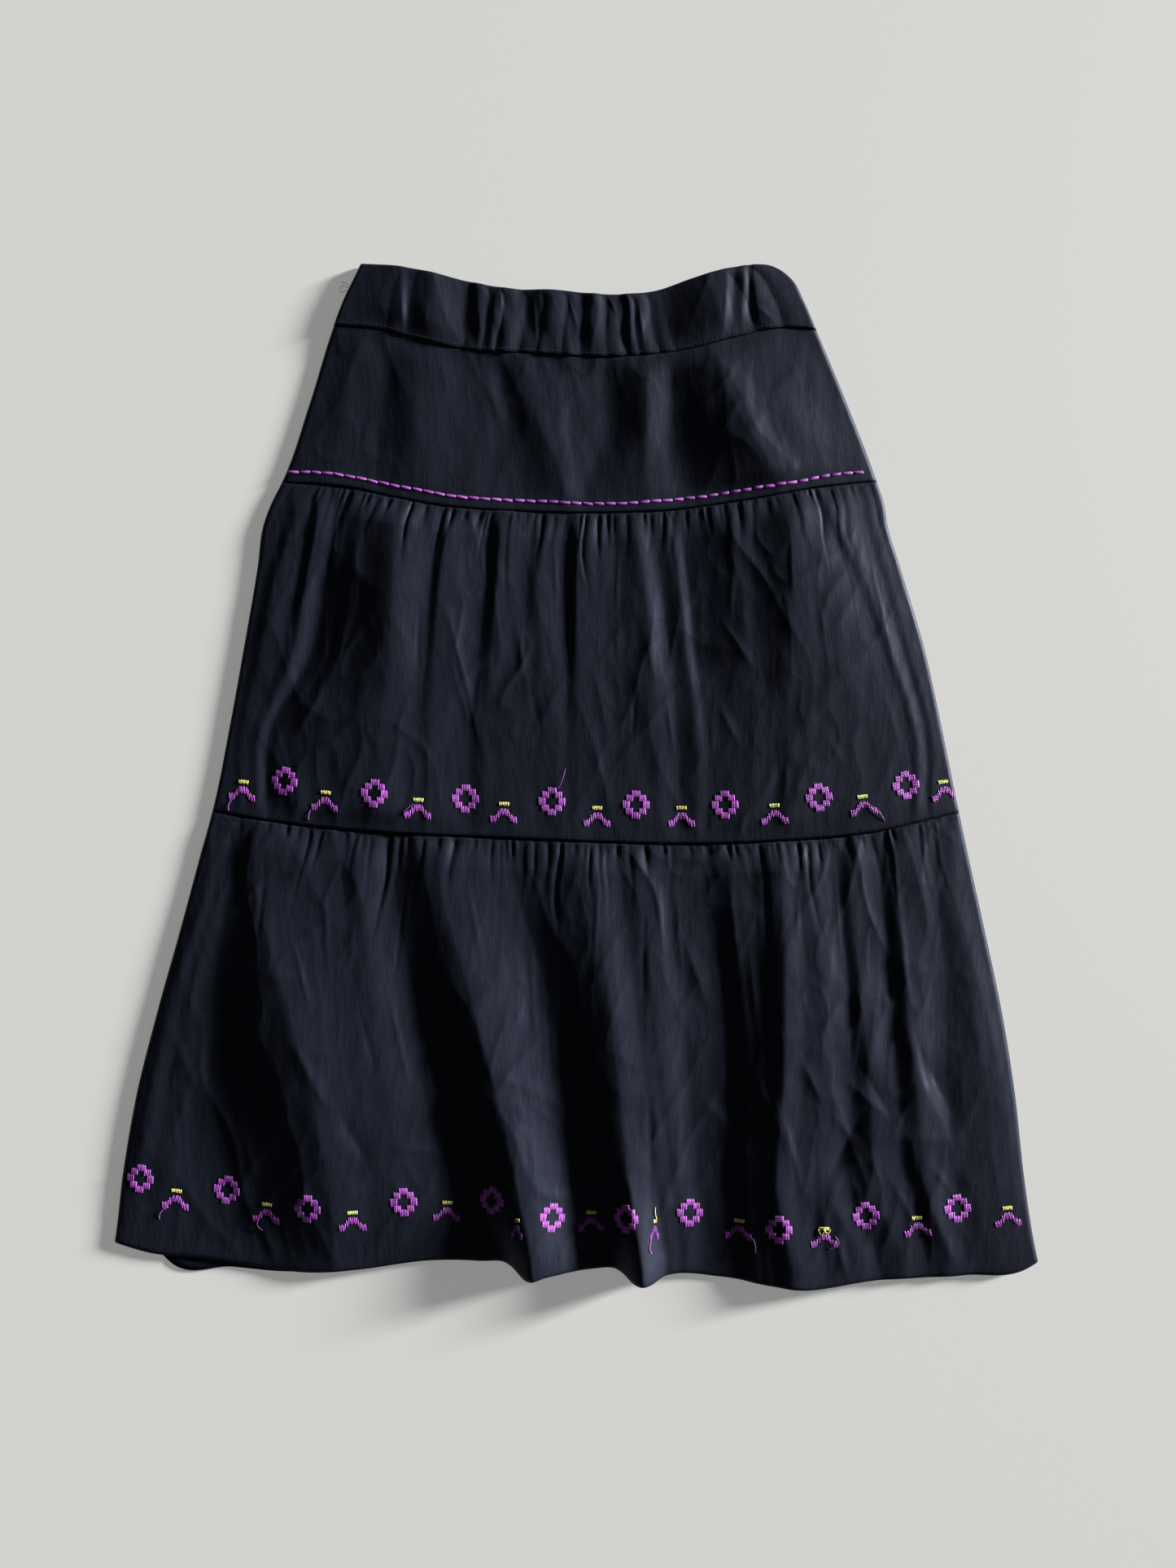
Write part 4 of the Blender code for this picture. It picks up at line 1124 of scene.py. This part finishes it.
MIDDLE_CHEVRONS = (
    Motif(-205.3, -11.0),
    Motif(-154.3, -17.5),
    Motif(-97.3, -22.0),
    Motif(-44.8, -24.5),
    Motif(12.3, -27.0),
    Motif(64.3, -27.0),
    Motif(121.3, -25.5),
    Motif(175.8, -20.0),
    Motif(226.0, -11.0),
)
HEM_DIAMONDS = (
    Motif(-267.8, -247.0),
    Motif(-214.8, -254.0),
    Motif(-164.3, -264.0),
    Motif(-105.8, -260.5),
    Motif(-51.8, -259.0),
    Motif(-14.8, -269.0),
    Motif(29.8, -269.0),
    Motif(69.3, -267.5),
    Motif(123.3, -276.5),
    Motif(176.8, -269.0),
    Motif(233.3, -265.0),
)
HEM_CHEVRONS = (
    Motif(-246.3, -262.0),
    Motif(-190.3, -270.0),
    Motif(-136.8, -274.0),
    Motif(-79.8, -269.0),
    Motif(-36.3, -277.0, 0.45),
    Motif(8.8, -275.5),
    Motif(47.6, -279.0, 0.4),
    Motif(99.3, -280.0),
    Motif(151.3, -284.0),
    Motif(208.8, -278.0),
    Motif(264.8, -272.5),
)


def upright(chart, lean, rng):
    """Starts and ends of a motif's stitches from their centres and lengths. Each leans a little against the
    next, as the thread goes up one and down the other."""
    centre, length = chart[:, :2], chart[:, 2]
    lean = lean * np.where(np.arange(len(chart)) % 2, 1, -1)
    half = np.stack([lean, 0.5 * length], axis=-1)
    wobble = rng.uniform(-STITCH_SHAKE, STITCH_SHAKE, (2, len(chart), 2))
    return centre - half + wobble[0], centre + half + wobble[1]


def diamond_chart():
    """A ring of eight satin blocks round a hole in the shape of a plus."""
    rows = []
    for block in DIAMOND_BLOCKS:
        offsets = STITCH_STEP * (np.arange(block.count) - (block.count - 1) / 2)
        rows += [(block.x + offset, block.y, block.length) for offset in offsets]
    return np.array(rows)


def chevron_chart():
    """A stepped arch, the same on both sides of its middle stitch."""
    right = [tuple(stitch) for stitch in CHEVRON_HALF]
    left = [(-x, y, length) for x, y, length in right[:0:-1]]
    return np.array(left + right)


def bar_chart():
    """A short row of short stitches, even about its middle."""
    x = STITCH_STEP * (np.arange(BAR_STITCHES) - (BAR_STITCHES - 1) / 2)
    return np.stack([x, 0 * x, np.full(x.shape, BAR_LENGTH)], axis=-1)


def on_cloth(panel, centre, tilt, places):
    """Turns a motif's places by the border's tilt and lays them on the cloth from its centre. Distances
    across are measured along the folds, so what lies on a slope looks narrower from above."""
    across = np.linspace(-MOTIF_REACH, MOTIF_REACH, MOTIF_STEPS)
    line = np.stack([centre.x + across, np.full(across.shape, centre.y)], axis=-1)
    height = sewn_front(panel, line, 0 * across)[:, 2]
    run = np.concatenate([[0], np.cumsum(np.hypot(np.diff(across), np.diff(height)))])
    run -= np.interp(0, across, run)
    x = places[..., 0] * np.cos(tilt) - places[..., 1] * np.sin(tilt)
    y = places[..., 0] * np.sin(tilt) + places[..., 1] * np.cos(tilt)
    return np.stack([centre.x + np.interp(x, run, across), centre.y + y], axis=-1)


def within(points):
    """The stitches of which every point lies inside the skirt's side edges."""
    left, right = side_edges(points[..., 1])
    inside = (points[..., 0] > left + EDGE_CLEARANCE) & (points[..., 0] < right - EDGE_CLEARANCE)
    return points[inside.all(axis=(1, 2))]


def border(name, panel, back, centres, chart, yarn):
    """Front and back copies of one motif at all its places, each on its own cloth. A motif on the steep
    side of a fold has only a share of its width on the front."""
    rng = np.random.default_rng(len(name))
    x, y, _ = np.array(centres).T
    tilts = TILT_SHARE * np.arctan(np.gradient(y, x))
    front_places, back_places, lifts = [], [], []
    for centre, tilt in zip(centres, tilts):
        first, last = upright(chart, yarn.lean, rng)
        places, lift = stitch_rings(first, last, yarn.width)
        turn = np.array([[np.cos(tilt), np.sin(tilt)], [-np.sin(tilt), np.cos(tilt)]])
        front_places.append(on_cloth(panel, centre, tilt, places * (centre.share, 1)))
        back_places.append(np.array(centre[:2]) + places @ turn)
        lifts.append(lift)
    lift = np.concatenate(lifts)
    front = within(sewn_front(panel, np.concatenate(front_places), SATIN_HEIGHT * lift - SUNK))
    behind = within(sewn_back(back, np.concatenate(back_places), SATIN_HEIGHT_BEHIND * lift - SUNK))
    thread_object(name + "_front", front, yarn.material)
    thread_object(name + "_back", behind, yarn.material)


def borders(name, panel, back, diamonds, chevrons):
    """One section's border: its diamonds, its chevrons, and the yellow bar over each chevron."""
    border(name + "_diamonds", panel, back, diamonds, diamond_chart(), diamond_yarn)
    border(name + "_chevrons", panel, back, chevrons, chevron_chart(), chevron_yarn)
    border(name + "_bars", panel, back, chevrons, bar_chart() + (0, YELLOW_RISE, 0), bar_yarn)


yellow = thread("yellow thread", YELLOW_DEEP, YELLOW_BRIGHT, roughness=0.42, gloss=0.3)
diamond_yarn = Yarn(width=1.3, lean=0.1, material=purple, slot="purple_thread")
chevron_yarn = Yarn(width=0.85, lean=0.24, material=purple, slot="purple_thread")
bar_yarn = Yarn(width=1.1, lean=0.13, material=yellow, slot="yellow_thread")
borders("middle", middle_panel, middle_back, MIDDLE_DIAMONDS, MIDDLE_CHEVRONS)
borders("hem", bottom_panel, bottom_back, HEM_DIAMONDS, HEM_CHEVRONS)

# Loose thread ends
# Thin single strands left where the embroidery thread was cut off: at a few feet of the chevrons, at two
# yellow bars and beside one diamond, and a small tuft of navy ends at the left of the waistband.
Strand = namedtuple("Strand", "start bend end width lift")
PURPLE_ENDS = (
    Strand((-11.3, -8.0), (-8.0, -2.0), (-6.9, 4.6), 0.22, 1.0),
    Strand((-163.0, -20.5), (-164.5, -24.0), (-164.0, -27.0), 0.45, 0.4),
    Strand((-212.0, -14.5), (-214.5, -18.0), (-213.5, -21.0), 0.4, 0.4),
    Strand((-105.5, -24.0), (-104.5, -18.5), (-99.5, -17.5), 0.35, 0.6),
    Strand((176.8, -17.5), (184.5, -18.0), (188.8, -27.5), 0.4, 0.8),
    Strand((107.3, -282.5), (110.0, -286.0), (109.2, -291.5), 0.5, 0.5),
    Strand((157.8, -281.0), (164.0, -287.0), (154.0, -288.8), 0.4, 0.8),
    Strand((-250.5, -264.5), (-256.5, -266.0), (-256.0, -272.0), 0.4, 0.5),
    Strand((-195.0, -272.0), (-197.5, -276.0), (-192.5, -278.5), 0.4, 0.5),
    Strand((45.5, -283.0), (43.5, -288.0), (46.0, -290.5), 0.4, 0.5),
)
YELLOW_ENDS = (
    Strand((147.5, -276.4), (149.5, -283.5), (151.6, -276.6), 0.5, 0.5),
    Strand((150.5, -276.2), (153.5, -281.5), (155.0, -276.8), 0.5, 0.5),
    Strand((49.0, -270.5), (47.5, -266.0), (48.2, -263.0), 0.4, 0.5),
)
NAVY_ENDS = (
    Strand((-140.0, 300.0), (-144.5, 302.5), (-145.5, 299.0), 0.25, 0.5),
    Strand((-140.2, 299.0), (-143.0, 297.0), (-146.0, 297.5), 0.25, 0.4),
    Strand((-140.0, 301.5), (-142.5, 304.0), (-144.5, 303.0), 0.25, 0.3),
)
STRAND_STEPS = 17


def strand_places(strand):
    """Rings of points round a strand, from above, and how far each lies above the cloth: the middle line
    runs in a bow from its start to its end, pulled towards its bend, and is raised in between."""
    t = np.linspace(0, 1, STRAND_STEPS)[:, None]
    start, bend, end = (np.array(place) for place in (strand.start, strand.bend, strand.end))
    middle = (1 - t) ** 2 * start + 2 * t * (1 - t) * bend + t**2 * end
    across = crosswise(np.gradient(middle, axis=0))
    turn = 2 * np.pi * np.arange(RING) / RING
    places = middle[:, None] + 0.5 * strand.width * np.cos(turn)[None, :, None] * across[:, None]
    lift = strand.lift * np.sin(np.pi * t) + 0.5 * strand.width * (1 + np.sin(turn))
    return places, lift


def loose_ends(name, panels, strands, material):
    """One object from all the strands of a colour, each lying on its own panel."""
    points = []
    for panel, strand in zip(panels, strands):
        places, lift = strand_places(strand)
        points.append(sewn_front(panel, places, lift))
    thread_object(name, np.stack(points), material)


purple_end_panels = 5 * [middle_panel] + 5 * [bottom_panel]
loose_ends("loose_ends_purple", purple_end_panels, PURPLE_ENDS, purple)
loose_ends("loose_ends_yellow", 3 * [bottom_panel], YELLOW_ENDS, yellow)
loose_ends("loose_ends_navy", 3 * [waist_panel], NAVY_ENDS, navy_thread)

# Studio
# A plain pale floor, which glows faintly of itself as painted light that lightens the skirt's shadow on it,
# under strong low light from a window at the right, in a dim room with a faint glow round the window. The
# camera hangs straight over the skirt, a little to the right of its middle.
FRAME_HEIGHT = 1927
MM_PER_PIXEL = 0.5
CAMERA_HEIGHT = 0.95
SKIRT_HEIGHT = 0.003
VIEW_CENTRE = (7.0, -4.75)
FLOOR_SIZE = 16
FLOOR_PAINTED_FILL = 0.235
WINDOW_SIDE = (0.925, 0.335, 0.18)
WINDOW_STRENGTH = 13.4
WINDOW_ANGLE = 0.16
GLOW_SIDE = (0.90, 0.30, 0.30)
GLOW_START = 0.8
ROOM_STRENGTH = 0.05
GLOW_STRENGTH = 0.3
bpy.ops.mesh.primitive_plane_add(size=FLOOR_SIZE)
floor = bpy.context.object
floor.name = "floor"
paint = bpy.data.materials.new("pale floor")
paint.use_nodes = True
board = paint.node_tree.nodes["Principled BSDF"]
board.inputs["Base Color"].default_value = (0.50, 0.50, 0.488, 1)
board.inputs["Roughness"].default_value = 0.6
# Painted light: the floor glows evenly of itself, which lightens the skirt's shadow on it.
board.inputs["Emission Color"].default_value = (1.0, 1.0, 0.985, 1)
board.inputs["Emission Strength"].default_value = FLOOR_PAINTED_FILL
floor.data.materials.append(paint)
camera_data = bpy.data.cameras.new("camera")
camera_data.sensor_fit = "VERTICAL"
half_frame = 0.5 * FRAME_HEIGHT * MM_PER_PIXEL * MM
camera_data.angle_y = 2 * np.arctan(half_frame / (CAMERA_HEIGHT - SKIRT_HEIGHT))
camera = bpy.data.objects.new("camera", camera_data)
camera.location = (VIEW_CENTRE[0] * MM, VIEW_CENTRE[1] * MM, CAMERA_HEIGHT)
bpy.context.scene.collection.objects.link(camera)
bpy.context.scene.camera = camera

window_data = bpy.data.lights.new("window", "SUN")
window_data.angle = WINDOW_ANGLE
window_data.energy = WINDOW_STRENGTH
window_data.color = (1.0, 0.99, 0.975)
window = bpy.data.objects.new("window", window_data)
window.rotation_euler = (-Vector(WINDOW_SIDE)).to_track_quat("-Z", "Y").to_euler()
bpy.context.scene.collection.objects.link(window)
world = bpy.data.worlds.new("studio")
world.use_nodes = True
sky = world.node_tree.nodes["Background"]
sky.inputs["Color"].default_value = (0.96, 0.98, 1.0, 1)
direction = world.node_tree.nodes.new("ShaderNodeTexCoord")
facing = world.node_tree.nodes.new("ShaderNodeVectorMath")
facing.operation = "DOT_PRODUCT"
facing.inputs[1].default_value = Vector(GLOW_SIDE).normalized()
glow = world.node_tree.nodes.new("ShaderNodeMapRange")
glow.interpolation_type = "SMOOTHSTEP"
glow.inputs["From Min"].default_value = GLOW_START
glow.inputs["From Max"].default_value = 1.0
glow.inputs["To Min"].default_value = ROOM_STRENGTH
glow.inputs["To Max"].default_value = GLOW_STRENGTH
world.node_tree.links.new(direction.outputs["Generated"], facing.inputs[0])
world.node_tree.links.new(facing.outputs["Value"], glow.inputs["Value"])
world.node_tree.links.new(glow.outputs["Result"], sky.inputs["Strength"])
bpy.context.scene.world = world
bpy.context.scene.view_settings.view_transform = "Standard"
